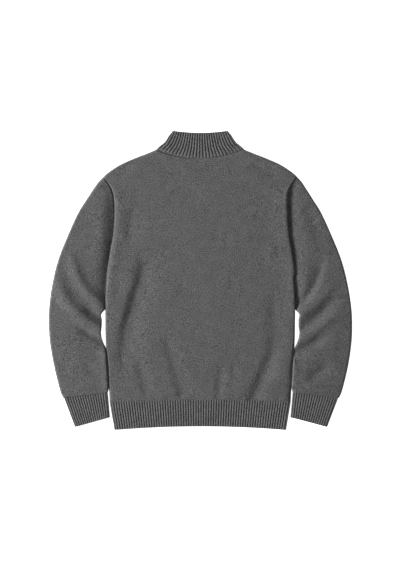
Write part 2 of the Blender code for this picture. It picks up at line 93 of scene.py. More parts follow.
#        height, half width
SIDE = (
    (-0.2916, 0.2176),
    (-0.2388, 0.2204),
    (-0.1908, 0.2235),
    (-0.1548, 0.2270),
    (-0.0948, 0.2282),
    (-0.0468, 0.2281),
    (0.0084, 0.2244),
)
ARMHOLE = (
    (0.0084, 0.2244),
    (0.0372, 0.2213),
    (0.0732, 0.2158),
    (0.1092, 0.2093),
    (0.1452, 0.2064),
    (0.1740, 0.2059),
    (0.1932, 0.2069),
    (0.2112, 0.2102),
    (0.2268, 0.2172),
    (0.2484, 0.2336),
)
SHOULDER_LINE = (
    (0.2484, 0.2336),
    (0.2540, 0.2284),
    (0.2652, 0.2140),
    (0.2796, 0.1908),
    (0.2940, 0.1582),
    (0.3084, 0.1212),
    (0.3149, 0.1060),
)
COLLAR_SIDE = (
    (0.3149, 0.1060),
    (0.3228, 0.0978),
    (0.3300, 0.0882),
    (0.3372, 0.0820),
    (0.3516, 0.0732),
    (0.3600, 0.0690),
)

# Sleeve, as in the solids
SLEEVE_RUN = (0.53, 0.10)  # how far it reaches down and across
ARMHOLE_HOLD = 0.22
CUFF_BOTTOM_OUTER = (0.3031, -0.3523)
CUFF_BOTTOM_INNER = (0.2170, -0.3288)
CUFF_TUCK = 0.0020
CUFF_RIBS = 18
#        height, distance from the middle
OUTER_EDGE = (
    (-0.2820, 0.3320),
    (-0.2676, 0.3384),
    (-0.2100, 0.3528),
    (-0.1524, 0.3624),
    (-0.1092, 0.3650),
    (-0.0660, 0.3636),
    (-0.0084, 0.3552),
    (0.0492, 0.3408),
    (0.1068, 0.3180),
    (0.1644, 0.2916),
    (0.1932, 0.2736),
    (0.2220, 0.2550),
    (0.2370, 0.2446),
    (0.2484, 0.2336),
)
#        height, distance towards +X
OUTER_SWING = (
    (-0.3523, 0.0020),
    (-0.2100, 0.0020),
    (-0.1092, 0.0006),
    (-0.0084, -0.0006),
    (0.1100, -0.0013),
    (0.2220, -0.0010),
    (0.2484, 0.0),
)
#        height, distance from the body's side
INNER_GAP = (
    (-0.2688, 0.0036),
    (-0.2600, TOUCH),
    (-0.1620, TOUCH),
    (-0.1524, 0.0045),
    (-0.1380, 0.0093),
    (-0.1260, 0.0108),
    (-0.1092, 0.0085),
    (-0.0948, 0.0082),
    (-0.0830, 0.0104),
    (-0.0780, 0.0080),
    (-0.0700, TOUCH),
    (0.0084, TOUCH),
)
#        height of the outer edge, height of the inner edge
SLEEVE_SLANT = (
    (-0.2820, -0.2688),
    (-0.1950, -0.1740),
    (-0.1284, -0.1260),
    (-0.0660, -0.0876),
    (0.1068, -0.0312),
    (0.2484, 0.0084),
)

# Heights of the upper surface
BODY_TOP = 0.0112
SLEEVE_TOP = 0.0106
SLEEVE_CROWN = 0.0016  # how much higher the middle of a sleeve is than its edges
SLEEVE_LEAN = (0.0026, 0.0042)  # how far each sleeve falls across its width, left and right
CAP_RISE = 0.0012  # how much higher the upper arm is
CAP_START = -0.16  # height from which it rises
CAP_BLEND = 0.08  # length over which it rises
CAP_SEAM = 0.04  # share of the sleeve's length, at the armhole, over which it starts
LEAST_TOP = FRONT_WALL + 0.0004 + BACK_WALL
ARMHOLE_LIP = 0.0066  # height of the lower edge of the body's lip over a sleeve
# How far that edge reaches over the right sleeve
#        height, reach
LIP_REACH = (
    (0.0084, 0.0040),
    (0.1700, 0.0040),
    (0.1950, 0.0030),
    (0.2200, 0.0010),
    (0.2484, 0.0000),
)
LIP_BLEND = 0.010  # length over which that lip rises from the side and from the shoulder
MOST_TOP = 0.0200
# The back swells beside the armholes
#        height, spread, distance from the edge
LEFT_SWELL = (0.0014, 0.014, 0.012)
RIGHT_SWELL = (0.0024, 0.024, 0.0)
SWELL_RANGE = (-0.10, SHOULDER, 0.06, 0.05)  # from, to, and the lengths of both soft steps
# It falls to the hem's rib and to the neck's seam
#        depth, length
HEM_FALL = (0.0022, 0.0042)
NECK_FALLS = ((0.0006, 0.0050), (0.0034, 0.0016))

# How wide the upper surface rounds down to its edges
#        height, width on the left, width on the right
BODY_ROUND = (
    (-0.2913, 0.0070, 0.0200),
    (-0.2650, 0.0060, 0.0220),
    (-0.2000, 0.0060, 0.0150),
    (-0.1620, 0.0050, 0.0080),
    (-0.0745, 0.0050, 0.0042),
    (0.0000, 0.0080, 0.0032),
    (0.0400, 0.0120, 0.0030),
    (0.1400, 0.0125, 0.0030),
    (0.1900, 0.0125, 0.0034),
    (0.2200, 0.0100, 0.0060),
    (0.2484, 0.0070, 0.0070),
    (0.2700, 0.0080, 0.0100),
    (0.3149, 0.0090, 0.0110),
)
SLEEVE_INNER_ROUND = (
    (-0.2688, 0.0045, 0.0045),
    (-0.1620, 0.0040, 0.0045),
    (-0.1450, 0.0040, 0.0045),
    (-0.0900, 0.0040, 0.0045),
    (-0.0700, 0.0045, 0.0050),
    (0.0084, 0.0045, 0.0045),
)
SLEEVE_OUTER_ROUND = (0.0060, 0.0062)  # left, right

# The left sleeve falls towards the armhole and, below it, towards the body's side
#        height, depth, width
LEFT_DIP = (
    (-0.0800, 0.0014, 0.013),
    (-0.0600, 0.0046, 0.020),
    (-0.0300, 0.0064, 0.030),
    (0.0084, 0.0066, 0.027),
    (0.0700, 0.0068, 0.028),
    (0.1400, 0.0068, 0.030),
    (0.1900, 0.0058, 0.027),
    (0.2150, 0.0040, 0.021),
    (0.2350, 0.0018, 0.014),
    (0.2484, 0.0006, 0.010),
)
# The right sleeve lies low along it, under the body's overhanging edge
RIGHT_DIP = (
    (-0.0800, 0.0010, 0.008),
    (-0.0600, 0.0036, 0.012),
    (-0.0300, 0.0060, 0.024),
    (0.0084, 0.0060, 0.034),
    (0.0400, 0.0060, 0.042),
    (0.0700, 0.0054, 0.046),
    (0.1400, 0.0054, 0.046),
    (0.1900, 0.0034, 0.036),
    (0.2150, 0.0018, 0.028),
    (0.2350, 0.0006, 0.018),
    (0.2484, 0.0002, 0.010),
)
RIGHT_SINK = 0.0018  # how much lower the right upper arm is
SINK_RANGE = (0.02, SHOULDER, 0.06, 0.07)
# The left sleeve's lower inner edge lies high over the body's side
#        height, rise
EDGE_RIDGE = (
    (-0.2760, 0.0012),
    (-0.2500, 0.0030),
    (-0.1700, 0.0030),
    (-0.1450, 0.0000),
)
RIDGE_SPREAD = 0.0110
RIDGE_PLACE = 0.004  # how far the ridge's top lies from the body's side
# Roll of knit on each side of the armhole's seam
#        height, height of the roll on the body, height of the roll on the sleeve
SEAM_ROLL = (
    (0.0084, 0.0003, 0.0000),
    (0.1300, 0.0006, 0.0000),
    (0.1700, 0.0010, 0.0005),
    (0.2050, 0.0014, 0.0014),
    (0.2400, 0.0012, 0.0014),
    (0.2484, 0.0006, 0.0006),
)
TUCK_END = 0.012  # share of the length over which the tuck fades
ROLL_PLACE = 0.0030  # distance of a roll's top from the seam
ROLL_SPREAD = 0.0018

# Creases of the upper surface: (points of the middle line, rise, spread to the right of its course,
# spread to the left, share of the length over which it fades in, share over which it fades out)
BODY_CREASES = (
    (((-0.130, 0.088), (-0.135, 0.054), (-0.138, 0.016), (-0.158, -0.052), (-0.176, -0.119),
      (-0.184, -0.186), (-0.182, -0.248)),
     -0.0048, 0.0155, 0.0340, 0.22, 0.24),
    (((-0.154, 0.083), (-0.161, 0.011), (-0.180, -0.047), (-0.200, -0.114), (-0.209, -0.172)),
     0.0022, 0.0300, 0.0150, 0.35, 0.40),
    (((-0.159, 0.188), (-0.165, 0.140), (-0.176, 0.078)),
     -0.0024, 0.0115, 0.0300, 0.45, 0.45),
    (((-0.087, -0.100), (-0.068, -0.187), (-0.039, -0.282)),
     -0.0025, 0.0125, 0.0240, 0.50, 0.03),
    (((-0.159, -0.152), (-0.147, -0.200), (-0.128, -0.277)),
     -0.0023, 0.0105, 0.0180, 0.50, 0.03),
    (((0.052, -0.181), (0.042, -0.287)),
     -0.0019, 0.0090, 0.0140, 0.50, 0.03),
    (((0.086, -0.179), (0.075, -0.263)),
     -0.0013, 0.0080, 0.0140, 0.45, 0.30),
    (((0.181, -0.100), (0.177, -0.162), (0.153, -0.229), (0.122, -0.296)),
     -0.0054, 0.0155, 0.0200, 0.50, 0.03),
    (((0.177, -0.008), (0.180, -0.157)),
     -0.0024, 0.0180, 0.0260, 0.40, 0.35),
    (((0.170, 0.107), (0.172, 0.020)),
     0.0016, 0.0100, 0.0120, 0.45, 0.45),
    (((-0.212, 0.256), (-0.144, 0.282)),
     -0.0012, 0.0090, 0.0120, 0.30, 0.40),
    (((0.199, 0.251), (0.103, 0.284)),
     -0.0018, 0.0110, 0.0120, 0.30, 0.40),
)
LEFT_CREASES = (
    (((-0.312, 0.085), (-0.305, 0.042), (-0.291, 0.006), (-0.274, -0.020), (-0.248, -0.047),
      (-0.212, -0.071)),
     0.0052, 0.0165, 0.0135, 0.40, 0.02),
    (((-0.339, 0.068), (-0.341, 0.030), (-0.339, -0.004), (-0.329, -0.030), (-0.315, -0.054),
      (-0.300, -0.071), (-0.281, -0.090), (-0.248, -0.109), (-0.212, -0.124)),
     0.0058, 0.0185, 0.0165, 0.45, 0.02),
    (((-0.288, -0.054), (-0.262, -0.076), (-0.233, -0.095), (-0.212, -0.107)),
     -0.0052, 0.0135, 0.0110, 0.45, 0.02),
    (((-0.303, -0.102), (-0.272, -0.126), (-0.233, -0.146), (-0.212, -0.157)),
     -0.0056, 0.0105, 0.0095, 0.45, 0.02),
    (((-0.288, -0.193), (-0.245, -0.227)),
     -0.0024, 0.0095, 0.0120, 0.40, 0.40),
    (((-0.240, 0.212), (-0.236, 0.073), (-0.245, 0.011)),
     0.0014, 0.0240, 0.0120, 0.30, 0.30),
)
RIGHT_CREASES = (
    (((0.300, 0.078), (0.285, 0.025), (0.278, 0.001), (0.268, -0.020), (0.254, -0.040),
      (0.237, -0.056), (0.223, -0.068)),
     -0.0034, 0.0300, 0.0120, 0.30, 0.02),
    (((0.295, 0.044), (0.280, 0.001), (0.268, -0.020), (0.254, -0.040), (0.237, -0.056),
      (0.223, -0.068)),
     -0.0026, 0.0100, 0.0110, 0.45, 0.02),
    (((0.331, 0.020), (0.307, -0.025), (0.273, -0.059), (0.242, -0.083), (0.220, -0.097)),
     0.0024, 0.0130, 0.0110, 0.45, 0.02),
    (((0.336, -0.023), (0.316, -0.054), (0.285, -0.083), (0.249, -0.113), (0.220, -0.133)),
     -0.0060, 0.0145, 0.0160, 0.40, 0.02),
    (((0.345, -0.056), (0.304, -0.102), (0.244, -0.136), (0.220, -0.148)),
     0.0018, 0.0130, 0.0100, 0.45, 0.02),
    (((0.319, -0.119), (0.292, -0.138), (0.256, -0.160), (0.220, -0.176)),
     -0.0060, 0.0115, 0.0180, 0.45, 0.02),
    (((0.316, -0.191), (0.292, -0.215), (0.252, -0.244)),
     -0.0038, 0.0125, 0.0170, 0.40, 0.35),
    (((0.261, 0.193), (0.271, 0.140), (0.285, 0.097), (0.304, 0.054)),
     -0.0014, 0.0140, 0.0140, 0.30, 0.40),
)
CREASE_FLANK = 0.15  # how strongly the cloth swells on both sides of a crease
CURVE_STEPS = 8  # straight steps between two points of a crease's middle line
AREA_STEPS = 60  # points across the outline whose area is measured

# Slight unevenness of all the cloth
#        length of the waves, height
WAVES = (
    (0.085, 0.00030),
    (0.036, 0.00016),
    (0.015, 0.00006),
)
WAVES_EACH = 7
WAVE_RANGE = (0.75, 1.35)  # shortest and longest, over the length above
WAVE_SEED = 11

# How finely the pieces are divided
EDGE_STEPS = 7  # from a turned edge's outermost line to the flat
UNDER_STEPS = 5
BODY_STEP = 0.0032
FRONT_STEP = 0.0070
SLEEVE_STEP = 0.0030
RIB_ROW_STEP = 0.0048
BACK_RIB_STEPS = 12  # columns for each rib
FRONT_RIB_STEPS = 8
# Distances of the first rows from a seam or an open end
END_ROWS = (0.0, 0.0003, 0.0007, 0.0012, 0.0020, 0.0032)
NECK_ROWS = (0.0, 0.0004, 0.0010, 0.0017, 0.0024, 0.0031, 0.0038, 0.0045, 0.0052, 0.0060, 0.0072, 0.0090)
NECK_FILLED = 0.75  # share of the collar's furrows that is filled at the neck
NECK_FADE = 0.0048  # distance from the neck over which the collar's ribs start
NECK_FALL = 0.0024  # how deep their ends fall to the neck's seam
NECK_GROOVE = 0.0022  # length over which they fall
NECK_PAINTED_SHADE = 1.5  # how deep the painted shade on the body's knit is at that seam
LIP = 0.0011  # radius of the cloth's lip at a seam or an open end
CLOTH_CREASE = math.radians(60)  # sharpest angle that is shaded smooth
METAL_CREASE = math.radians(40)

# Zip, as in the solids
TAPE = 0.0010
TAPE_BOTTOM = -0.3490
ZIP_LEVEL = FRONT_WALL + SEAM + TAPE / 2
CHAIN_THICK = 0.0022
CHAIN_OUTER = 0.00285
BOX_LENGTH = 0.0075
CHAIN_REACH = 0.0010
SLIDER_Y = 0.2905

# Teeth
TOOTH_PITCH = 0.0025
TOOTH_LENGTH = 0.0014  # room along the zip
TOOTH_METAL = 0.8  # share of it that is metal
TOOTH_HEAD = 0.0005  # how far a tooth reaches past the middle
TOOTH_BEVEL = 0.00022

# The photograph's frame
PICTURE_HEIGHT = 570
PIXEL = 0.0024  # metres in the cloth's plane
CENTRE = (-0.0005, -0.0108)  # what lies in the middle of the picture
CAMERA_HEIGHT = 3.2
SENSOR = 36.0  # millimetres
KEY_PLACE = (-5.4, 0.40, 2.55)
KEY_SIZE = 1.6
FLOOR_REACH = 6.0
FLOOR_LEVEL = -0.0002

# Textures
#        scale, detail, roughness
FLECK = (440.0, 3.0, 0.65)
FIBRE = (1700.0, 2.0, 0.6)
CLOUD = (55.0, 3.0, 0.55)
FELT = (460.0, 3.0, 0.62)
WARM = (300.0, 2.0, 0.5)
WORN = (900.0, 3.0, 0.6)
GRAIN = (40.0, 2.0, 0.5)
FIBRE_SHARE = 0.6  # contrast of the fibres and the clouds, over that of the flecks
CLOUD_SHARE = 0.10
OLIVE = (1.05, 1.02, 0.80)  # colour of the warmer fibres, over the wool's
STITCH_SLANT = 1.6
STITCH_LEG = 0.5
STITCH_GROOVE = -0.35
TWILL = 0.0015  # width of the tape's herringbone
YARN = 0.0009


class CardiganForm(PropertyGroup):
    """Relief of the knit cloth"""

    fold_strength: FloatProperty(
        name="Folds", description="Strength of the creases, as a share", default=1.0, min=0.0, max=1.5
    )
    wave_strength: FloatProperty(
        name="Unevenness", description="Strength of the slight waves, as a share", default=1.0, min=0.0
    )
    collar_rise: FloatProperty(
        name="Collar ribs",
        description="Height of the collar's ribs",
        default=0.0023,
        subtype="DISTANCE",
        unit="LENGTH",
        precision=4,
    )
    hem_rise: FloatProperty(
        name="Hem ribs",
        description="Height of the hem's ribs",
        default=0.0019,
        subtype="DISTANCE",
        unit="LENGTH",
        precision=4,
    )
    cuff_rise: FloatProperty(
        name="Cuff ribs",
        description="Height of the cuffs' ribs",
        default=0.0018,
        subtype="DISTANCE",
        unit="LENGTH",
        precision=4,
    )
    inside_rise: FloatProperty(
        name="Front ribs",
        description="Depth of the furrows on the side that the cardigan lies on",
        default=0.0008,
        subtype="DISTANCE",
        unit="LENGTH",
        precision=4,
    )


class CardiganFinish(PropertyGroup):
    """Colours and texture of the wool and the zip"""

    wool: FloatVectorProperty(
        name="Wool", description="Colour of the wool", default=(0.099, 0.099, 0.099), size=3, subtype="COLOR"
    )
    fleck: FloatProperty(
        name="Flecks",
        description="Contrast of the lighter and darker fibres",
        default=1.05,
        min=0.0,
        max=1.5,
    )
    stitch_width: FloatProperty(
        name="Stitch width",
        description="Width of one stitch",
        default=0.0022,
        subtype="DISTANCE",
        unit="LENGTH",
        precision=4,
    )
    stitch_height: FloatProperty(
        name="Stitch height",
        description="Height of one stitch",
        default=0.0017,
        subtype="DISTANCE",
        unit="LENGTH",
        precision=4,
    )
    tape: FloatVectorProperty(
        name="Tape",
        description="Colour of the zip's tape",
        default=(0.045, 0.045, 0.046),
        size=3,
        subtype="COLOR",
    )
    metal: FloatVectorProperty(
        name="Metal",
        description="Colour of the zip's metal",
        default=(0.23, 0.23, 0.24),
        size=3,
        subtype="COLOR",
    )


class CardiganStudio(PropertyGroup):
    """Floor and light"""

    floor: FloatVectorProperty(
        name="Floor", description="Colour of the floor", default=(0.93, 0.93, 0.93), size=3, subtype="COLOR"
    )
    glow: FloatProperty(
        name="Floor glow", description="Light of the lit table under the cardigan", default=1.0, min=0.0
    )
    key_power: FloatProperty(name="Key", description="Light from the upper left", default=698.0, unit="POWER")
    sky: FloatProperty(name="Surroundings", description="Strength of the light all round", default=0.27)


def smooth(table, place, column=1):
    """Values at places on the smooth curve through a table's rows, which rise in their first column."""
    places = np.array([row[0] for row in table])
    values = np.array([row[column] for row in table])
    count = len(places)
    before = np.maximum(np.arange(count) - 1, 0)
    after = np.minimum(np.arange(count) + 1, count - 1)
    slope = (values[after] - values[before]) / (places[after] - places[before])
    place = np.clip(place, places[0], places[-1])
    cell = np.clip(np.searchsorted(places, place, side="right") - 1, 0, count - 2)
    span = places[cell + 1] - places[cell]
    t = (place - places[cell]) / span
    return (
        values[cell] * (1 + 2 * t) * (1 - t) ** 2
        + values[cell + 1] * t * t * (3 - 2 * t)
        + span * slope[cell] * t * (1 - t) ** 2
        - span * slope[cell + 1] * t * t * (1 - t)
    )


def straight(table, place, column=1):
    """Values at places on the straight lines through a table's rows."""
    return np.interp(place, [row[0] for row in table], [row[column] for row in table])


def ease(t):
    """A soft step from 0 to 1 as t goes from 0 to 1."""
    t = np.clip(t, 0, 1)
    return t * t * (3 - 2 * t)


def between(place, low, high, low_blend, high_blend):
    """1 between two places and 0 outside them, with a soft step at each."""
    return ease((place - low) / low_blend) * ease((high - place) / high_blend)


def ridge(distance, height, spread, place=0.0):
    """Height of a soft ridge whose top lies at a distance from a line."""
    return height * np.exp(-(((distance - place) / spread) ** 2))


def curve_through(points):
    """A fine line on the smooth curve through a few points."""
    points = np.array(points, float)
    if len(points) == 2:
        return points
    ends = np.vstack([2 * points[0] - points[1], points, 2 * points[-1] - points[-2]])
    line = []
    for a, b, c, d in zip(ends, ends[1:], ends[2:], ends[3:]):
        for t in np.arange(CURVE_STEPS) / CURVE_STEPS:
            square, cube = 2 * a - 5 * b + 4 * c - d, 3 * b - a - 3 * c + d
            line.append(0.5 * (2 * b + (c - a) * t + square * t**2 + cube * t**3))
    return np.array(line + [points[-1]])


def nearest(x, y, line):
    """Distance of each point to a line, positive on its left, and the share of the line that is nearest."""
    lengths = np.linalg.norm(np.diff(line, axis=0), axis=1)
    starts = np.concatenate([[0], np.cumsum(lengths)])
    best = np.full(x.shape, np.inf)
    share = np.zeros(x.shape)
    for start, end, length, begun in zip(line, line[1:], lengths, starts):
        run_x, run_y = (end - start) / length
        off_x, off_y = x - start[0], y - start[1]
        along = np.clip(off_x * run_x + off_y * run_y, 0, length)
        away = np.hypot(off_x - along * run_x, off_y - along * run_y)
        closer = away < np.abs(best)
        hand = np.where(run_x * off_y - run_y * off_x < 0, -1, 1)
        best = np.where(closer, away * hand, best)
        share = np.where(closer, (begun + along) / starts[-1], share)
    return best, share


def creased(x, y, creases):
    """Height that the creases add."""
    rise = np.zeros(x.shape)
    for points, height, right, left, fade_in, fade_out in creases:
        away, share = nearest(x, y, curve_through(points))
        ends = ease(share / fade_in) * ease((1 - share) / fade_out)
        square = (away / np.where(away < 0, right, left)) ** 2
        rise += height * ends * (1 - CREASE_FLANK * square) * np.exp(-square)
    return rise * bpy.context.scene.cardigan_form.fold_strength


def uneven(x, y):
    """Height that the slight waves add."""
    drawn = np.random.default_rng(WAVE_SEED)
    rise = np.zeros(x.shape)
    for length, height in WAVES:
        for _ in range(WAVES_EACH):
            turn, start = drawn.uniform(0, 2 * math.pi, 2)
            pace = 2 * math.pi / (length * drawn.uniform(*WAVE_RANGE))
            rise += height / math.sqrt(WAVES_EACH) * np.sin(
                pace * (x * math.cos(turn) + y * math.sin(turn)) + start
            )
    return rise * bpy.context.scene.cardigan_form.wave_strength


def end_rows(low, high, step, near_high=None):
    """Places from low to high, close together near both ends and a step apart between them."""
    near_high = np.array(near_high or END_ROWS)
    near_low = np.array(END_ROWS)
    count = max(2, round((high - low - near_low[-1] - near_high[-1]) / step))
    middle = np.linspace(low + near_low[-1], high - near_high[-1], count + 1)
    return np.concatenate([low + near_low[:-1], middle, high - near_high[-2::-1]])


def to_ends(place, low, high):
    """Distance of each row to the nearer end, as a column."""
    return np.minimum(place - low, high - place)[:, None]


def lip_drop(distance):
    """How far a rounded lip falls at a distance from its end."""
    inside = np.clip(LIP - distance, 0, LIP)
    return LIP - np.sqrt(LIP**2 - inside**2)


class Rows:
    """Lines across a piece, each from its first edge to its second, seen from above."""

    def __init__(self, first, second, bend):
        self.first = np.array(first, float)
        self.second = np.array(second, float)
        self.bend = bend
        self.width = np.linalg.norm(self.second - self.first, axis=1)[:, None]

    def at(self, distance):
        """Points at distances from the first edge, as x and y."""
        share = distance / self.width
        x, y = (
            self.first[:, None, i] + (self.second - self.first)[:, None, i] * share for i in (0, 1)
        )
        bend_x, bend_y = self.bend(share)
        return x + bend_x, y + bend_y


def sagged(half, height, sag, reach=0.0):
    """Rows from side to side whose middles lie lower than their ends."""
    drop = np.array(sag)[:, None]

    def bend(share):
        return 0.0, -drop * (1 - (2 * share - 1) ** 2)

    return Rows(np.column_stack([-half, height]), np.column_stack([half + reach, height]), bend)


class Places:
    """Where the columns of a layer lie: distances across, how far each has turned, and thickness."""

    def __init__(self, outer, inner, rise, wall, phase=None):
        self.outer = outer
        self.inner = inner
        self.rise = rise  # 0 at a turned edge's outermost line, 1 on the flat
        self.wall = wall
        self.phase = phase  # counts the ribs across

    def taken(self, columns):
        """The same places at some of the columns."""
        phase = None if self.phase is None else self.phase[:, columns]
        wall = self.wall[:, columns] if np.ndim(self.wall) else self.wall
        return Places(self.outer[:, columns], self.inner[:, columns], self.rise[:, columns], wall, phase)

    def mirrored(self, width):
        """The same places from the other edge."""
        turned = self.taken(slice(None, None, -1))
        turned.outer = width - turned.outer
        turned.inner = width - turned.inner
        return turned


def plain_places(width, first, second, count, wall, turned=1.0, steps=EDGE_STEPS):
    """Columns of a plain layer between two turned edges. A rounding of None is a plain end."""
    rows = len(width)
    angle = np.linspace(0, math.pi / 2, steps, endpoint=False)[None, :]
    left = np.zeros((rows, 1)) if first is None else first
    right = np.zeros((rows, 1)) if second is None else second
    flat = left + (width - left - right) * np.linspace(0, 1, count)[None, :]
    outer, inner, rise = [flat], [flat], [np.ones((rows, count))]
    if first is not None:
        outer.insert(0, first * (1 - np.cos(angle)))
        inner.insert(0, first - (first - wall * turned) * np.cos(angle))
        rise.insert(0, np.sin(angle) * np.ones((rows, 1)))
    if second is not None:
        back = angle[:, ::-1]
        outer.append(width - second * (1 - np.cos(back)))
        inner.append(width - second + (second - wall * turned) * np.cos(back))
        rise.append(np.sin(back) * np.ones((rows, 1)))
    return Places(np.hstack(outer), np.hstack(inner), np.hstack(rise), wall)


def rib_height(phase):
    """Share of a rib's height, from 0 in the furrow to 1 on the crest."""
    return np.abs(np.sin(math.pi * phase)) ** RIB_ROUNDING


def rib_columns(width, ribs, steps, turn, run):
    """Ribs counted across, as many columns to each, and distances along the knit."""
    phase = np.linspace(0, ribs, ribs * steps + 1)[None, :] * np.ones((len(width), 1))
    return phase, (run + turn) * phase / ribs


def turned_columns(width, ribs, steps, radius):
    """Ribs counted across, angles, middles and leans of columns round both turned edges."""
    turn = radius * math.pi / 2
    run = width - 2 * EDGE
    phase, along = rib_columns(width, ribs, steps, 2 * turn, run)
    first = along < turn
    second = along > turn + run
    angle = np.where(first, along / radius, np.where(second, (run + 2 * turn - along) / radius, math.pi / 2))
    middle = np.where(first, EDGE, np.where(second, width - EDGE, EDGE + along - turn))
    lean = np.where(first, -1, np.where(second, 1, 0)) * np.cos(angle)
    return phase, angle, middle, lean


def rib_places(width, ribs, high):
    """Columns of a ribbed back layer, with ribs round both turned edges."""
    radius = HOLLOW / 2 + RIB_BASE + high / 2
    phase, angle, middle, lean = turned_columns(width, ribs, BACK_RIB_STEPS, radius)
    wall = RIB_BASE + high * rib_height(phase)
    outer = middle + lean * (HOLLOW / 2 + wall)
    return Places(outer, middle + lean * HOLLOW / 2, np.sin(angle), wall, phase)


def half_rib_places(width, ribs):
    """Columns of a ribbed front, from its turned edge to its edge at the zip."""
    turn = EDGE * math.pi / 2
    run = width / 2 - ZIP_EDGE - EDGE
    phase, along = rib_columns(width, ribs, FRONT_RIB_STEPS, turn, run)
    angle = np.minimum(along / EDGE, math.pi / 2)
    middle = EDGE + np.maximum(along - turn, 0)
    outer = middle - np.cos(angle) * EDGE
    return Places(outer, middle - np.cos(angle) * HOLLOW / 2, np.sin(angle), FRONT_WALL, phase)


def full_rib_places(width, ribs):
    """Columns of a ribbed underside between two turned edges."""
    phase, angle, middle, lean = turned_columns(width, ribs, FRONT_RIB_STEPS, EDGE)
    return Places(middle + lean * EDGE, middle + lean * HOLLOW / 2, np.sin(angle), FRONT_WALL, phase)


class Layer:
    """Grids of outer and inner points, the flat place of each in the knit, and the painted shade that darkens
    the wool in furrows and at the neck's seam.
    """

    def __init__(self, outer, inner, knit, furrow):
        self.outer = outer
        self.inner = inner
        self.knit = knit
        self.furrow = furrow

    def grids(self):
        return self.outer, self.inner, self.knit, self.furrow

    def reversed(self):
        """The same layer with its columns the other way round."""
        return Layer(*(grid[:, ::-1] for grid in self.grids()))

    def joined(self, other):
        """This layer with another beside it."""
        return Layer(*(np.concatenate(pair, axis=1) for pair in zip(self.grids(), other.grids())))


def layer_of(rows, places, down, outer_z, inner_z, shade):
    """A layer at the heights of its outer and inner points."""
    stitch = bpy.context.scene.cardigan_finish.stitch_width
    across = places.outer - rows.width / 2 if places.phase is None else places.phase * 4 * stitch
    return Layer(
        np.stack([*rows.at(places.outer), outer_z], axis=-1),
        np.stack([*rows.at(places.inner), inner_z], axis=-1),
        np.stack([across, np.broadcast_to(down, across.shape)], axis=-1),
        shade,
    )


def upper_layer(rows, places, top, base, down, ends, shade=None):
    """The layer that faces up. The top and the painted shade are functions of x and y, and ends are
    distances.
    """
    x, y = rows.at(places.outer)
    height = np.clip(top(x, y), LEAST_TOP, MOST_TOP)
    drop = lip_drop(ends)
    outer_z = base + (height - base) * places.rise - drop
    inner_z = base + (height - BACK_WALL - base) * places.rise + drop
    shades = shade(x, y) if shade else np.zeros(x.shape)
    return layer_of(rows, places, down, outer_z, inner_z, shades)


def ribbed_upper(rows, places, down, ends, filled=0.0, fall=0.0, floor=EDGE):
    """A ribbed layer that faces up, over a plain inside, with furrows filled and ribs falling in places."""
    drop = lip_drop(ends)
    wall = places.wall + filled * (places.wall.max() - places.wall)
    outer_z = np.maximum(EDGE + (HOLLOW / 2 + wall - fall) * places.rise - drop, floor)
    inner_z = np.maximum(EDGE + HOLLOW / 2 * places.rise + drop, floor)
    # Painted shade: the wool's colour darkens in the rib furrows, less where they are filled
    shade = (1 - filled) * (1 - rib_height(places.phase))
    return layer_of(rows, places, down, outer_z, inner_z, shade)


def under_layer(rows, places, down, ends, turned=1.0, ceiling=EDGE):
    """The layer that the cardigan lies on."""
    # The furrows' depth, which also sets the painted shade that darkens the wool in them
    shade = np.zeros(places.outer.shape)
    if places.phase is not None:
        shade = 1 - rib_height(places.phase)
    drop = lip_drop(ends)
    low = bpy.context.scene.cardigan_form.inside_rise * shade + drop
    high = FRONT_WALL - drop
    outer_z = low + (ceiling - low) * turned * (1 - places.rise)
    inner_z = high + (ceiling - high) * turned * (1 - places.rise)
    outer_z, inner_z = np.minimum(outer_z, ceiling), np.minimum(inner_z, ceiling)
    return layer_of(rows, places, down, outer_z, inner_z, shade)


def cloth_piece(name, layer, material, node, ring=False):
    """A closed wall of knit between a layer's outer and inner points."""
    rows, count = layer.outer.shape[:2]
    size = rows * count
    cells = np.arange(count if ring else count - 1)
    following = (cells + 1) % count
    row = np.arange(rows - 1)[:, None] * count
    outside = np.stack([row + cells, row + following, row + count + following, row + count + cells], axis=-1)
    inside = outside[..., ::-1] + size
    faces = [outside.reshape(-1, 4), inside.reshape(-1, 4)]
    last = (rows - 1) * count
    faces.append(np.stack([cells, cells + size, following + size, following], axis=-1))
    faces.append(
        np.stack([last + cells, last + following, last + following + size, last + cells + size], axis=-1)
    )
    if not ring:
        down = np.arange(rows - 1) * count
        faces.append(np.stack([down, down + count, down + count + size, down + size], axis=-1))
        down = down + count - 1
        faces.append(np.stack([down, down + size, down + count + size, down + count], axis=-1))
    faces = np.concatenate(faces)
    mesh = bpy.data.meshes.new(name)
    points = np.concatenate([layer.outer.reshape(-1, 3), layer.inner.reshape(-1, 3)])
    mesh.from_pydata(points.tolist(), [], faces.tolist())
    knit = np.concatenate([layer.knit.reshape(-1, 2)] * 2)
    corners = np.zeros(len(mesh.loops), np.int32)
    mesh.loops.foreach_get("vertex_index", corners)
    uv = knit[corners]
    if ring:
        closing = closing_corners(faces, corners, count, size)
        wrap = layer.knit[:, -1, 0] + (layer.knit[:, -1, 0] - layer.knit[:, -2, 0])
        uv[closing, 0] = wrap[(corners[closing] % size) // count]
    mesh.uv_layers.new(name="knit").uv.foreach_set("vector", uv.astype(np.float32).ravel())
    # Painted shade, carried by the furrow attribute, darkens the wool's colour; the inner points get none
    shade = np.concatenate([layer.furrow.ravel(), np.zeros(size)]).astype(np.float32)
    mesh.attributes.new("furrow", "FLOAT", "POINT").data.foreach_set("value", shade)
    work = bmesh.new()
    work.from_mesh(mesh)
    bmesh.ops.recalc_face_normals(work, faces=work.faces)
    work.to_mesh(mesh)
    work.free()
    mesh.shade_smooth()
    mesh.set_sharp_from_angle(angle=CLOTH_CREASE)
    piece = garment_part(name, mesh, material, node)


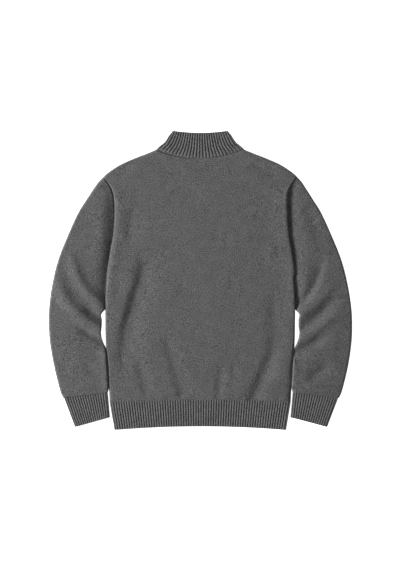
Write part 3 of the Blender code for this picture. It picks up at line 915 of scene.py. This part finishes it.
def closing_corners(faces, corners, count, size):
    """Corners of the faces that close a ring, on its first column."""
    column = (faces % size) % count
    closes = (column == 0).any(axis=1) & (column == count - 1).any(axis=1)
    return np.flatnonzero(np.repeat(closes, 4) & ((corners % size) % count == 0))


def placed(name, mesh, material):
    """An object of the cardigan, linked to the scene."""
    piece = bpy.data.objects.new(name, mesh)
    piece.data.materials.append(material)
    bpy.context.scene.collection.objects.link(piece)
    return piece


def outline_area(rows, share=1.0):
    """Area that some rows cover, seen from above, from their first edge over a share of their width."""
    x, y = rows.at(rows.width * np.linspace(0, share, AREA_STEPS)[None, :])
    x = np.concatenate([x[0], x[1:, -1], x[-1, -2::-1], x[-2:0:-1, 0]])
    y = np.concatenate([y[0], y[1:, -1], y[-1, -2::-1], y[-2:0:-1, 0]])
    return abs(float(np.dot(x, np.roll(y, -1)) - np.dot(y, np.roll(x, -1)))) / 2


def body_half(height):
    """Half width of the body from the rib to the neck."""
    armhole = smooth(ARMHOLE, height) - SEAM / 2
    above = np.where(height < SHOULDER, armhole, smooth(SHOULDER_LINE, height))
    return np.where(height <= UNDERARM, smooth(SIDE, height), above)


def armhole_share(height):
    """1 along the armhole and 0 at the sides and the shoulders."""
    return between(height, UNDERARM, SHOULDER, LIP_BLEND, LIP_BLEND)


def seam_turn(height):
    """How far the front's edge turns up: fully at the sides and shoulders, not at the armhole."""
    inset = np.clip(np.minimum(height - UNDERARM, SHOULDER - height), 0, EDGE)
    return 1 - np.sqrt(1 - (1 - inset / EDGE) ** 2)


def hem_rise(height):
    """How much higher a body row is in its middle, near the rib."""
    return HEM_TOP_RISE * np.maximum(0.0, 1 - (height - HEM_TOP) / HEM_EASE)


def below_neck(x, y):
    """Distance below the neck's seam on the back."""
    half = float(smooth(SHOULDER_LINE, NECK_POINT))
    line = NECK_POINT - BACK_NECK_DROP * (1 - np.clip(x / half, -1, 1) ** 2)
    return np.maximum(line - y, 0)


def painted_neck_shade(x, y):
    """How deep the painted shade is on the cloth beside the neck's seam."""
    return ridge(below_neck(x, y), NECK_PAINTED_SHADE, NECK_GROOVE)


def body_top(x, y):
    """Height of the back's upper surface."""
    half = body_half(np.clip(y, HEM_TOP, NECK_POINT))
    inset = half - np.abs(x)
    rise = BODY_TOP + creased(x, y, BODY_CREASES) + uneven(x, y)
    roll = straight(SEAM_ROLL, y) * armhole_share(y)
    rise += ridge(inset, roll, ROLL_SPREAD, ROLL_PLACE)
    swell = np.where(x < 0, ridge(inset, *LEFT_SWELL), ridge(inset, *RIGHT_SWELL))
    rise += between(y, *SWELL_RANGE) * swell
    hem_line = HEM_TOP + HEM_TOP_RISE * (1 - (x / half) ** 2)
    rise -= ridge(np.maximum(y - hem_line, 0), *HEM_FALL)
    for fall in NECK_FALLS:
        rise -= ridge(below_neck(x, y), *fall)
    return rise


def make_back(material):
    """The back panel."""
    low, high = HEM_TOP - LAP, NECK_POINT + LAP
    height = end_rows(low, high, BODY_STEP, NECK_ROWS)
    share = np.maximum(0.0, (height - SHOULDER) / (NECK_POINT - SHOULDER))
    reach = smooth(LIP_REACH, height) * armhole_share(height)
    rows = sagged(body_half(height), height, BACK_NECK_DROP * share - hem_rise(height), reach)
    left, right = (smooth(BODY_ROUND, height, column)[:, None] for column in (1, 2))
    count = round(2 * SIDE[-3][1] / BODY_STEP)
    places = plain_places(rows.width, left, right, count, BACK_WALL)
    base = EDGE + SEAM / 2 + (ARMHOLE_LIP - EDGE) * armhole_share(height)[:, None]
    ends = to_ends(height, low, high)
    layer = upper_layer(rows, places, body_top, base, height[:, None], ends, painted_neck_shade)
    area = outline_area(rows)
    cloth_piece("back", layer, material, "back_panel")


def make_front(side, label, material):
    """One front, flat on the surface, from its turned side to the zip."""
    low, high = HEM_TOP - LAP, NECK_POINT + LAP
    height = end_rows(low, high, FRONT_STEP)
    share = np.maximum(0.0, (height - FRONT_DROP_START) / (NECK_POINT - FRONT_DROP_START))
    rows = sagged(body_half(height), height, FRONT_NECK_DROP * share**1.5 - hem_rise(height))
    turned = seam_turn(height)[:, None]
    corner = np.full((len(height), 1), EDGE)
    count = round(SIDE[-3][1] / FRONT_STEP)
    places = plain_places(rows.width / 2 - ZIP_EDGE, corner, None, count, FRONT_WALL, turned, UNDER_STEPS)
    if side > 0:
        places = places.mirrored(rows.width)
    ends = to_ends(height, low, high)
    layer = under_layer(rows, places, height[:, None], ends, turned, EDGE - SEAM / 2)
    area = outline_area(rows, 0.5)
    cloth_piece(f"front_{label}_cloth", layer, material, f"front_{label}")


def hem_rows():
    """Rows of the hem's rib, from its top line to its bottom edge, and their distances down."""
    top = HEM_TOP + LAP
    length = top - HEM_BOTTOM
    down = end_rows(0.0, length, RIB_ROW_STEP)
    share = down / length
    half = SIDE[0][1] + (HEM_BOTTOM_HALF - SIDE[0][1]) * share
    rise = HEM_TOP_RISE + (HEM_BOTTOM_RISE - HEM_TOP_RISE) * share
    return sagged(half, top - down, -rise), down, to_ends(down, 0, length)


def make_hem(material):
    """The hem's rib: the back and the two fronts."""
    form = bpy.context.scene.cardigan_form
    rows, down, ends = hem_rows()
    places = rib_places(rows.width, HEM_RIBS, form.hem_rise)
    layer = ribbed_upper(rows, places, -down[:, None], ends, floor=EDGE + SEAM / 2)
    area = outline_area(rows)
    cloth_piece(
        "hem_back_rib", layer, material, "hem_back"
    )
    for side, label in SIDES:
        places = half_rib_places(rows.width, HEM_RIBS // 2)
        if side > 0:
            places = places.mirrored(rows.width)
        layer = under_layer(rows, places, -down[:, None], ends, 1.0, EDGE - SEAM / 2)
        area = outline_area(rows, 0.5)
        cloth_piece(f"hem_{label}_rib", layer, material, f"hem_front_{label}")


def collar_rows(share, low_dip, high_dip):
    """Rows of one layer of the collar, from the neck (0) to the top edge (1)."""
    low = NECK_POINT - LAP
    height = low + (COLLAR_TOP - low) * share
    dip = (low_dip + (high_dip - low_dip) * share)[:, None]
    half = smooth(COLLAR_SIDE, height)
    corner = COLLAR_CORNER * ease((share - CORNER_START) / (1 - CORNER_START))[:, None] + 1e-9

    def bend(across):
        inset = np.clip((0.5 - np.abs(across - 0.5)) * 2 * half[:, None], 0, corner)
        drop = corner - np.sqrt(corner**2 - (corner - inset) ** 2)
        return 0.0, -dip * (1 - (2 * across - 1) ** 2) - drop

    return Rows(np.column_stack([-half, height]), np.column_stack([half, height]), bend)


def make_collar(material):
    """The collar, from the right front's zip edge round the back to the left front's."""
    form = bpy.context.scene.cardigan_form
    length = COLLAR_TOP - NECK_POINT
    up = end_rows(0.0, length, RIB_ROW_STEP / 2)
    share = up / length
    ends = to_ends(up, 0, length)
    front = collar_rows(share, FRONT_NECK_DROP, FRONT_COLLAR_DIP)
    back = collar_rows(share, BACK_NECK_DROP, BACK_COLLAR_DIP)
    half = half_rib_places(front.width, COLLAR_RIBS // 2).taken(slice(1, None))
    down = up[:, None]
    left = under_layer(front, half, down, ends)
    right = under_layer(front, half.mirrored(front.width), down, ends)
    across = rib_places(back.width, COLLAR_RIBS, form.collar_rise)
    filled = ridge(down, NECK_FILLED, NECK_FADE)
    fall = ridge(down, NECK_FALL, NECK_GROOVE)
    middle = ribbed_upper(back, across, down, ends, filled, fall)
    layer = right.joined(middle.reversed()).joined(left)
    around = outline_area(back) + outline_area(front)
    cloth_piece("collar_rib", layer, material, "collar")


def armhole_line(side):
    """The seam between the body and a sleeve, and the body's side below it."""
    below = [(half * side, height) for height, half in SIDE[-3:-1]]
    seam = [(half * side, height) for height, half in ARMHOLE]
    return curve_through(below + seam)


def sleeve_rows(share, side, tuck=0.0):
    """Rows of a sleeve, from the armhole (0) to the top of the cuff (1)."""
    top = OUTER_EDGE[-1][0]
    outer_y = top + (OUTER_EDGE[0][0] - top) * share
    inner_y = smooth(SLEEVE_SLANT, outer_y)
    outer_x = smooth(OUTER_EDGE, outer_y) + side * smooth(OUTER_SWING, outer_y)
    inner_x = smooth(SIDE, inner_y) + straight(INNER_GAP, inner_y)
    outer_x[0], inner_x[0] = smooth(ARMHOLE, SHOULDER), smooth(ARMHOLE, UNDERARM)
    outer_y[-1] -= LAP
    inner_y[-1] -= LAP
    hold = (np.maximum(0.0, 1 - share / ARMHOLE_HOLD) ** 2)[:, None]
    seam = SEAM / 2 * np.maximum(0.0, 1 - share / TUCK_END)[:, None]

    def bend(across):
        height = SHOULDER + (UNDERARM - SHOULDER) * across
        chord = smooth(ARMHOLE, SHOULDER) * (1 - across) + smooth(ARMHOLE, UNDERARM) * across
        under = tuck * ease(np.minimum(across, 1 - across) / TUCK_END) * (2 * seam / SEAM)
        return side * ((smooth(ARMHOLE, height) - chord) * hold + seam - under), 0.0

    return Rows(
        np.column_stack([side * outer_x, outer_y]), np.column_stack([side * inner_x, inner_y]), bend
    )


def make_sleeve(side, label, creases, material):
    """One sleeve, a flattened tube."""
    length = math.hypot(*SLEEVE_RUN)
    share = end_rows(0.0, length, SLEEVE_STEP) / length
    rows = sleeve_rows(share, side)
    tucked = sleeve_rows(share, side, TUCK)
    line = armhole_line(side)
    dip = LEFT_DIP if side < 0 else RIGHT_DIP

    def top(x, y):
        away = np.abs(nearest(x, y, line)[0])
        depth = smooth(dip, y)
        share = away / smooth(dip, y, 2)
        rise = SLEEVE_TOP + creased(x, y, creases) + uneven(x, y)
        rise -= depth * (np.clip(1 - share, 0, 1) ** 2 if side < 0 else 1 - ease(share))
        if side > 0:
            rise -= RIGHT_SINK * between(y, *SINK_RANGE)
        else:
            inset = smooth(SIDE, y) + RIDGE_PLACE + x
            rise += ridge(inset, smooth(EDGE_RIDGE, y), RIDGE_SPREAD)
        roll = straight(SEAM_ROLL, y, 2) * ease((y - UNDERARM) / LIP_BLEND)
        return rise + ridge(away, roll, ROLL_SPREAD, ROLL_PLACE)

    highest, lowest = OUTER_EDGE[-1][0], OUTER_EDGE[0][0]
    inner_y = smooth(SLEEVE_SLANT, highest + (lowest - highest) * share)
    outer_round = np.full((len(share), 1), SLEEVE_OUTER_ROUND[side > 0])
    inner_round = smooth(SLEEVE_INNER_ROUND, inner_y, 1 if side < 0 else 2)[:, None]
    count = round(float(rows.width.mean()) / SLEEVE_STEP)
    places = plain_places(rows.width, outer_round, inner_round, count, BACK_WALL)
    across = 2 * places.outer / rows.width - 1
    crown = SLEEVE_CROWN * (1 - across**2) + side * SLEEVE_LEAN[side > 0] * across / 2
    cap = ease((inner_y - CAP_START) / CAP_BLEND) * ease(share / CAP_SEAM)
    crown += CAP_RISE * cap[:, None]
    corner = np.full((len(share), 1), EDGE)
    below = plain_places(rows.width, corner, corner, count // 2, FRONT_WALL, 1.0, UNDER_STEPS)
    down = -(share * length)[:, None]
    ends = to_ends(share, 0, 1) * length
    upper = upper_layer(tucked, places, lambda x, y: top(x, y) + crown, EDGE, down, ends)
    under = under_layer(rows, below.taken(slice(1, -1)), down, ends)
    layer = upper.joined(under.reversed())
    area = 2 * outline_area(rows)
    cloth_piece(
        f"sleeve_{label}_cloth", layer, material, f"sleeve_{label}", ring=True
    )


def make_cuff(side, label, material):
    """One cuff, a flattened tube of rib."""
    form = bpy.context.scene.cardigan_form
    top_y, top_x = OUTER_EDGE[0]
    inner_y = SLEEVE_SLANT[0][1]
    inner_x = float(smooth(SIDE, inner_y)) + INNER_GAP[0][1]
    outer_ends = np.array([(top_x - CUFF_TUCK, top_y + LAP), CUFF_BOTTOM_OUTER])
    inner_ends = np.array([(inner_x, inner_y + LAP), CUFF_BOTTOM_INNER])
    outer_ends[:, 0] += side * smooth(OUTER_SWING, outer_ends[:, 1])
    length = float(np.linalg.norm((outer_ends[1] + inner_ends[1] - outer_ends[0] - inner_ends[0]) / 2))
    down = end_rows(0.0, length, RIB_ROW_STEP)
    share = (down / length)[:, None]
    flip = np.array([side, 1])
    outer = (outer_ends[0] * (1 - share) + outer_ends[1] * share) * flip
    inner = (inner_ends[0] * (1 - share) + inner_ends[1] * share) * flip
    rows = Rows(outer, inner, lambda across: (0.0, 0.0))
    ends = to_ends(down, 0, length)
    across = rib_places(rows.width, CUFF_RIBS, form.cuff_rise)
    below = full_rib_places(rows.width, CUFF_RIBS).taken(slice(1, -1))
    upper = ribbed_upper(rows, across, -down[:, None], ends)
    under = under_layer(rows, below, -down[:, None], ends)
    layer = upper.joined(under.reversed())
    area = 2 * outline_area(rows)
    cloth_piece(
        f"cuff_{label}_rib", layer, material, f"cuff_{label}", ring=True
    )


class Tree:
    """Short calls for building a material's nodes."""

    def __init__(self, name):
        self.material = bpy.data.materials.new(name)
        self.material.use_nodes = True
        self.nodes = self.material.node_tree.nodes
        self.links = self.material.node_tree.links
        self.shader = self.nodes["Principled BSDF"]

    def put(self, socket, value):
        """Sets a socket to a value or links it to another node's output."""
        if isinstance(value, bpy.types.NodeSocket):
            self.links.new(value, socket)
        else:
            socket.default_value = value

    def node(self, kind, output=0, settings=None, **inputs):
        """A new node's output. Inputs are named or, as in_0, numbered."""
        made = self.nodes.new(kind)
        for name, value in (settings or {}).items():
            setattr(made, name, value)
        for name, value in inputs.items():
            key = int(name[3:]) if name.startswith("in_") else name.replace("_", " ")
            self.put(made.inputs[key], value)
        return made.outputs[output]

    def math(self, operation, first, second=0.0):
        """The output of a Math node."""
        return self.node("ShaderNodeMath", settings={"operation": operation}, in_0=first, in_1=second)

    def noise(self, place, scale, detail, roughness):
        """The value of a Noise Texture."""
        return self.node("ShaderNodeTexNoise", Vector=place, Scale=scale, Detail=detail, Roughness=roughness)

    def spread(self, value, low, high, new_low, new_high):
        """The output of a Map Range node."""
        ends = {"in_1": low, "in_2": high, "in_3": new_low, "in_4": new_high}
        return self.node("ShaderNodeMapRange", in_0=value, **ends)

    def parts(self, vector):
        """The coordinates of a vector."""
        made = self.nodes.new("ShaderNodeSeparateXYZ")
        self.put(made.inputs[0], vector)
        return made.outputs

    def paint(self, colour, light):
        """A base colour that is lighter and darker in places."""
        made = self.nodes.new("ShaderNodeVectorMath")
        made.operation = "SCALE"
        self.put(made.inputs[0], colour)
        self.put(made.inputs["Scale"], light)
        self.put(self.shader.inputs["Base Color"], made.outputs[0])

    def bump(self, height, distance, normal=None):
        """The normal of a Bump node."""
        made = self.nodes.new("ShaderNodeBump")
        self.put(made.inputs["Height"], height)
        made.inputs["Distance"].default_value = distance
        made.inputs["Strength"].default_value = 1.0
        if normal is not None:
            self.put(made.inputs["Normal"], normal)
        return made.outputs[0]


def stitches(tree):
    """Height of plain knit: columns of V-shaped stitches."""
    finish = bpy.context.scene.cardigan_finish
    knit = tree.node("ShaderNodeUVMap", settings={"uv_map": "knit"})
    parts = tree.parts(knit)
    column = tree.math("DIVIDE", parts[0], finish.stitch_width)
    course = tree.math("DIVIDE", parts[1], finish.stitch_height)
    aside = tree.math("ABSOLUTE", tree.math("SUBTRACT", tree.math("FRACT", column), 0.5))
    slanted = tree.math("SUBTRACT", course, tree.math("MULTIPLY", aside, STITCH_SLANT))
    leg = tree.math("SINE", tree.math("MULTIPLY", slanted, 2 * math.pi))
    groove = tree.math("COSINE", tree.math("MULTIPLY", column, 2 * math.pi))
    legs = tree.math("MULTIPLY", leg, STITCH_LEG)
    return tree.math("ADD", legs, tree.math("MULTIPLY", groove, STITCH_GROOVE))


def wool_material(name, lightness, painted_furrow_shade, knit_depth, felt_depth):
    """Felted wool with lighter and darker fibres and painted shade where the furrow attribute says, over a
    knit that shows faintly.
    """
    finish = bpy.context.scene.cardigan_finish
    tree = Tree(name)
    place = tree.node("ShaderNodeTexCoord", output=3)
    flecks, fibres, clouds = (
        tree.spread(tree.noise(place, *texture), 0.25, 0.75, -finish.fleck * share, finish.fleck * share)
        for texture, share in ((FLECK, 1.0), (FIBRE, FIBRE_SHARE), (CLOUD, CLOUD_SHARE))
    )
    tone = tree.math("ADD", flecks, tree.math("ADD", fibres, clouds))
    # Painted shade: the colour darkens by the mesh's furrow attribute times the given strength
    furrow = tree.node("ShaderNodeAttribute", output=2, settings={"attribute_name": "furrow"})
    shaded = tree.math("SUBTRACT", 1.0, tree.math("MULTIPLY", furrow, painted_furrow_shade))
    light = tree.math("MULTIPLY", tree.math("ADD", 1.0, tone), shaded)
    warm = tree.spread(tree.noise(place, *WARM), 0.62, 0.74, 0.0, 0.9)
    base = tuple(channel * lightness for channel in finish.wool)
    olive = tuple(channel * share for channel, share in zip(base, OLIVE))
    colour = tree.nodes.new("ShaderNodeMix")
    colour.data_type = "RGBA"
    tree.put(colour.inputs["Factor"], warm)
    colour.inputs[6].default_value = (*base, 1.0)
    colour.inputs[7].default_value = (*olive, 1.0)
    tree.paint(colour.outputs[2], light)
    knitted = tree.bump(stitches(tree), knit_depth)
    tree.put(tree.shader.inputs["Normal"], tree.bump(tree.noise(place, *FELT), felt_depth, knitted))
    tree.shader.inputs["Roughness"].default_value = 0.95
    tree.shader.inputs["Specular IOR Level"].default_value = 0.15
    tree.shader.inputs["Sheen Weight"].default_value = 0.25
    tree.shader.inputs["Sheen Roughness"].default_value = 0.5
    return tree.material


def tape_material():
    """Woven tape with a fine herringbone."""
    finish = bpy.context.scene.cardigan_finish
    tree = Tree("tape_weave")
    place = tree.node("ShaderNodeTexCoord", output=3)
    parts = tree.parts(place)
    slanted = tree.math("ADD", parts[1], tree.math("PINGPONG", parts[0], TWILL))
    yarn = tree.math("SINE", tree.math("MULTIPLY", slanted, 2 * math.pi / YARN))
    tree.paint(tuple(finish.tape), tree.spread(yarn, -1.0, 1.0, 0.75, 1.2))
    tree.put(tree.shader.inputs["Normal"], tree.bump(yarn, 0.00012))
    tree.shader.inputs["Roughness"].default_value = 0.8
    tree.shader.inputs["Sheen Weight"].default_value = 0.1
    return tree.material


def metal_material():
    """Dark plated metal with fine scratches."""
    finish = bpy.context.scene.cardigan_finish
    tree = Tree("gunmetal_plating")
    place = tree.node("ShaderNodeTexCoord", output=3)
    worn = tree.noise(place, *WORN)
    tree.put(tree.shader.inputs["Roughness"], tree.spread(worn, 0.3, 0.7, 0.26, 0.42))
    tree.paint(tuple(finish.metal), tree.spread(worn, 0.3, 0.7, 0.85, 1.15))
    tree.put(tree.shader.inputs["Normal"], tree.bump(worn, 0.00002))
    tree.shader.inputs["Metallic"].default_value = 1.0
    return tree.material


def floor_material():
    """Plain pale board."""
    tree = Tree("pale_floor")
    place = tree.node("ShaderNodeTexCoord", output=3)
    studio = bpy.context.scene.cardigan_studio
    tree.paint(tuple(studio.floor), tree.spread(tree.noise(place, *GRAIN), 0.3, 0.7, 0.995, 1.005))
    tree.shader.inputs["Roughness"].default_value = 0.9
    tree.shader.inputs["Emission Color"].default_value = (1.0, 1.0, 1.0, 1.0)
    tree.shader.inputs["Emission Strength"].default_value = studio.glow
    return tree.material


def material_named(name, make):
    """A material that is made once and shared."""
    return bpy.data.materials.get(name) or make()


def plain_wool():
    """The body's and sleeves' wool."""
    return material_named("felted_wool", lambda: wool_material("felted_wool", 1.01, 0.42, 0.00014, 0.00170))


def rib_wool():
    """The ribs' wool, a copy of the body's painted lighter to offset the shade that falls between the ribs.
    """
    return material_named("ribbed_wool", lambda: wool_material("ribbed_wool", 1.09, 0.42, 0.00016, 0.00070))


def box_mesh(name, low, high, bevel):
    """A bevelled block between two corners."""
    mesh = bpy.data.meshes.new(name)
    work = bmesh.new()
    bmesh.ops.create_cube(work, size=1.0)
    bmesh.ops.scale(work, vec=Vector(high) - Vector(low), verts=work.verts)
    bmesh.ops.translate(work, vec=(Vector(high) + Vector(low)) / 2, verts=work.verts)
    bmesh.ops.bevel(work, geom=work.edges[:], offset=bevel, segments=2, profile=0.5, affect="EDGES")
    work.to_mesh(mesh)
    work.free()
    return mesh


def repeated(name, template, shifts):
    """Copies of a mesh at several shifts, as one mesh."""
    points = np.zeros(len(template.vertices) * 3)
    template.vertices.foreach_get("co", points)
    points = points.reshape(-1, 3)
    faces = [tuple(face.vertices) for face in template.polygons]
    all_points = (points[None] + np.array(shifts)[:, None]).reshape(-1, 3)
    all_faces = [
        tuple(corner + copy * len(points) for corner in face) for copy in range(len(shifts)) for face in faces
    ]
    mesh = bpy.data.meshes.new(name)
    mesh.from_pydata(all_points.tolist(), [], all_faces)
    mesh.shade_smooth()
    mesh.set_sharp_from_angle(angle=METAL_CREASE)
    return mesh


def garment_part(name, mesh, material, node):
    """A piece that rides on the garment and stands for a node."""
    piece = placed(name, mesh, material)
    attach(piece, "garment")
    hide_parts(node)
    return piece


def make_teeth(side, label, metal):
    """One half of the chain: cast teeth that interlock with the other half's."""
    bottom = TAPE_BOTTOM + BOX_LENGTH + SEAM
    top = SLIDER_Y + CHAIN_REACH
    inner = -TOOTH_HEAD * side
    low_x, high_x = sorted((inner, CHAIN_OUTER * side))
    low = (low_x, 0.0, ZIP_LEVEL - CHAIN_THICK / 2)
    high = (high_x, TOOTH_LENGTH * TOOTH_METAL, ZIP_LEVEL + CHAIN_THICK / 2)
    tooth = box_mesh("tooth", low, high, TOOTH_BEVEL)
    start = bottom + (TOOTH_PITCH / 2 if side > 0 else 0.0)
    count = int((top - TOOTH_LENGTH - start) / TOOTH_PITCH) + 1
    shifts = [(0.0, start + TOOTH_PITCH * i, 0.0) for i in range(count)]
    mesh = repeated(f"zip_teeth_{label}", tooth, shifts)
    bpy.data.meshes.remove(tooth)
    garment_part(f"zip_teeth_{label}", mesh, metal, f"zip_chain_{label}")


class CARDIGAN_OT_back(Operator):
    """Make the felted back panel with its folds"""

    bl_idname = "cardigan.back"
    bl_label = "Back"

    def execute(self, context):
        make_back(plain_wool())
        return {"FINISHED"}


class CARDIGAN_OT_fronts(Operator):
    """Make the two fronts that the cardigan lies on"""

    bl_idname = "cardigan.fronts"
    bl_label = "Fronts"

    def execute(self, context):
        for side, label in SIDES:
            make_front(side, label, plain_wool())
        return {"FINISHED"}


class CARDIGAN_OT_sleeves(Operator):
    """Make the two sleeves with the folds at the elbows"""

    bl_idname = "cardigan.sleeves"
    bl_label = "Sleeves"

    def execute(self, context):
        make_sleeve(-1, "left", LEFT_CREASES, plain_wool())
        make_sleeve(1, "right", RIGHT_CREASES, plain_wool())
        return {"FINISHED"}


class CARDIGAN_OT_ribs(Operator):
    """Make the ribbed collar, cuffs and hem"""

    bl_idname = "cardigan.ribs"
    bl_label = "Collar, Cuffs and Hem"

    def execute(self, context):
        make_collar(rib_wool())
        make_hem(rib_wool())
        for side, label in SIDES:
            make_cuff(side, label, rib_wool())
        return {"FINISHED"}


class CARDIGAN_OT_zip(Operator):
    """Make the zip's teeth and finish its tape, slider and pull"""

    bl_idname = "cardigan.zip"
    bl_label = "Zip"

    def execute(self, context):
        metal = material_named("gunmetal_plating", metal_material)
        weave = material_named("tape_weave", tape_material)
        for side, label in SIDES:
            make_teeth(side, label, metal)
            dress(f"zip_tape_{label}", weave)
            dress(f"zip_stop_{label}", metal)
        for node in ("zip_box", "zip_slider", "zip_pull"):
            dress(node, metal)
        return {"FINISHED"}


def dress(node, material):
    """Gives a node of the solids a finish."""
    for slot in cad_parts[node].material_slots:
        slot.material = material


class CARDIGAN_OT_stage(Operator):
    """Make the floor, the lights and the camera"""

    bl_idname = "cardigan.stage"
    bl_label = "Stage"

    def execute(self, context):
        studio = context.scene.cardigan_studio
        mesh = bpy.data.meshes.new("floor")
        turns = ((-1, -1), (1, -1), (1, 1), (-1, 1))
        corners = [(x * FLOOR_REACH, y * FLOOR_REACH, FLOOR_LEVEL) for x, y in turns]
        mesh.from_pydata(corners, [], [(0, 1, 2, 3)])
        floor = placed("floor", mesh, material_named("pale_floor", floor_material))
        area_light("key_light", KEY_PLACE, KEY_SIZE, studio.key_power)
        world = bpy.data.worlds.new("studio")
        world.use_nodes = True
        surroundings = world.node_tree.nodes["Background"]
        surroundings.inputs["Color"].default_value = (1.0, 1.0, 1.0, 1.0)
        surroundings.inputs["Strength"].default_value = studio.sky
        context.scene.world = world
        context.scene.view_settings.view_transform = "Standard"
        lens = bpy.data.cameras.new("camera")
        camera = bpy.data.objects.new("camera", lens)
        context.scene.collection.objects.link(camera)
        camera.location = (*CENTRE, CAMERA_HEIGHT)
        lens.sensor_width = SENSOR
        lens.lens = SENSOR * (CAMERA_HEIGHT - BODY_TOP) / (PICTURE_HEIGHT * PIXEL)
        context.scene.camera = camera
        return {"FINISHED"}


def area_light(name, place, size, power):
    """A square light that faces the cardigan."""
    data = bpy.data.lights.new(name, "AREA")
    data.size = size
    data.energy = power
    light = bpy.data.objects.new(name, data)
    light.location = place
    light.rotation_mode = "QUATERNION"
    light.rotation_quaternion = Vector(place).to_track_quat("Z", "Y")
    light.visible_camera = False
    bpy.context.scene.collection.objects.link(light)


class CARDIGAN_PT_panel(Panel):
    """Sizes, colours and steps of the cardigan"""

    bl_label = "Cardigan"
    bl_idname = "CARDIGAN_PT_panel"
    bl_space_type = "VIEW_3D"
    bl_region_type = "UI"
    bl_category = "Cardigan"

    def draw(self, context):
        for settings in (
            context.scene.cardigan_form,
            context.scene.cardigan_finish,
            context.scene.cardigan_studio,
        ):
            box = self.layout.box()
            for name in settings.__annotations__:
                box.prop(settings, name)
        for step in STEPS:
            self.layout.operator(step.bl_idname)


STEPS = (
    CARDIGAN_OT_back,
    CARDIGAN_OT_fronts,
    CARDIGAN_OT_sleeves,
    CARDIGAN_OT_ribs,
    CARDIGAN_OT_zip,
    CARDIGAN_OT_stage,
)
CLASSES = (CardiganForm, CardiganFinish, CardiganStudio, *STEPS, CARDIGAN_PT_panel)


def register():
    for kind in CLASSES:
        bpy.utils.register_class(kind)
    bpy.types.Scene.cardigan_form = PointerProperty(type=CardiganForm)
    bpy.types.Scene.cardigan_finish = PointerProperty(type=CardiganFinish)
    bpy.types.Scene.cardigan_studio = PointerProperty(type=CardiganStudio)


def unregister():
    del bpy.types.Scene.cardigan_studio
    del bpy.types.Scene.cardigan_finish
    del bpy.types.Scene.cardigan_form
    for kind in reversed(CLASSES):
        bpy.utils.unregister_class(kind)


def main():
    register()
    bpy.ops.cardigan.back()
    bpy.ops.cardigan.fronts()
    bpy.ops.cardigan.sleeves()
    bpy.ops.cardigan.ribs()
    bpy.ops.cardigan.zip()
    bpy.ops.cardigan.stage()


if __name__ == "__main__":
    main()
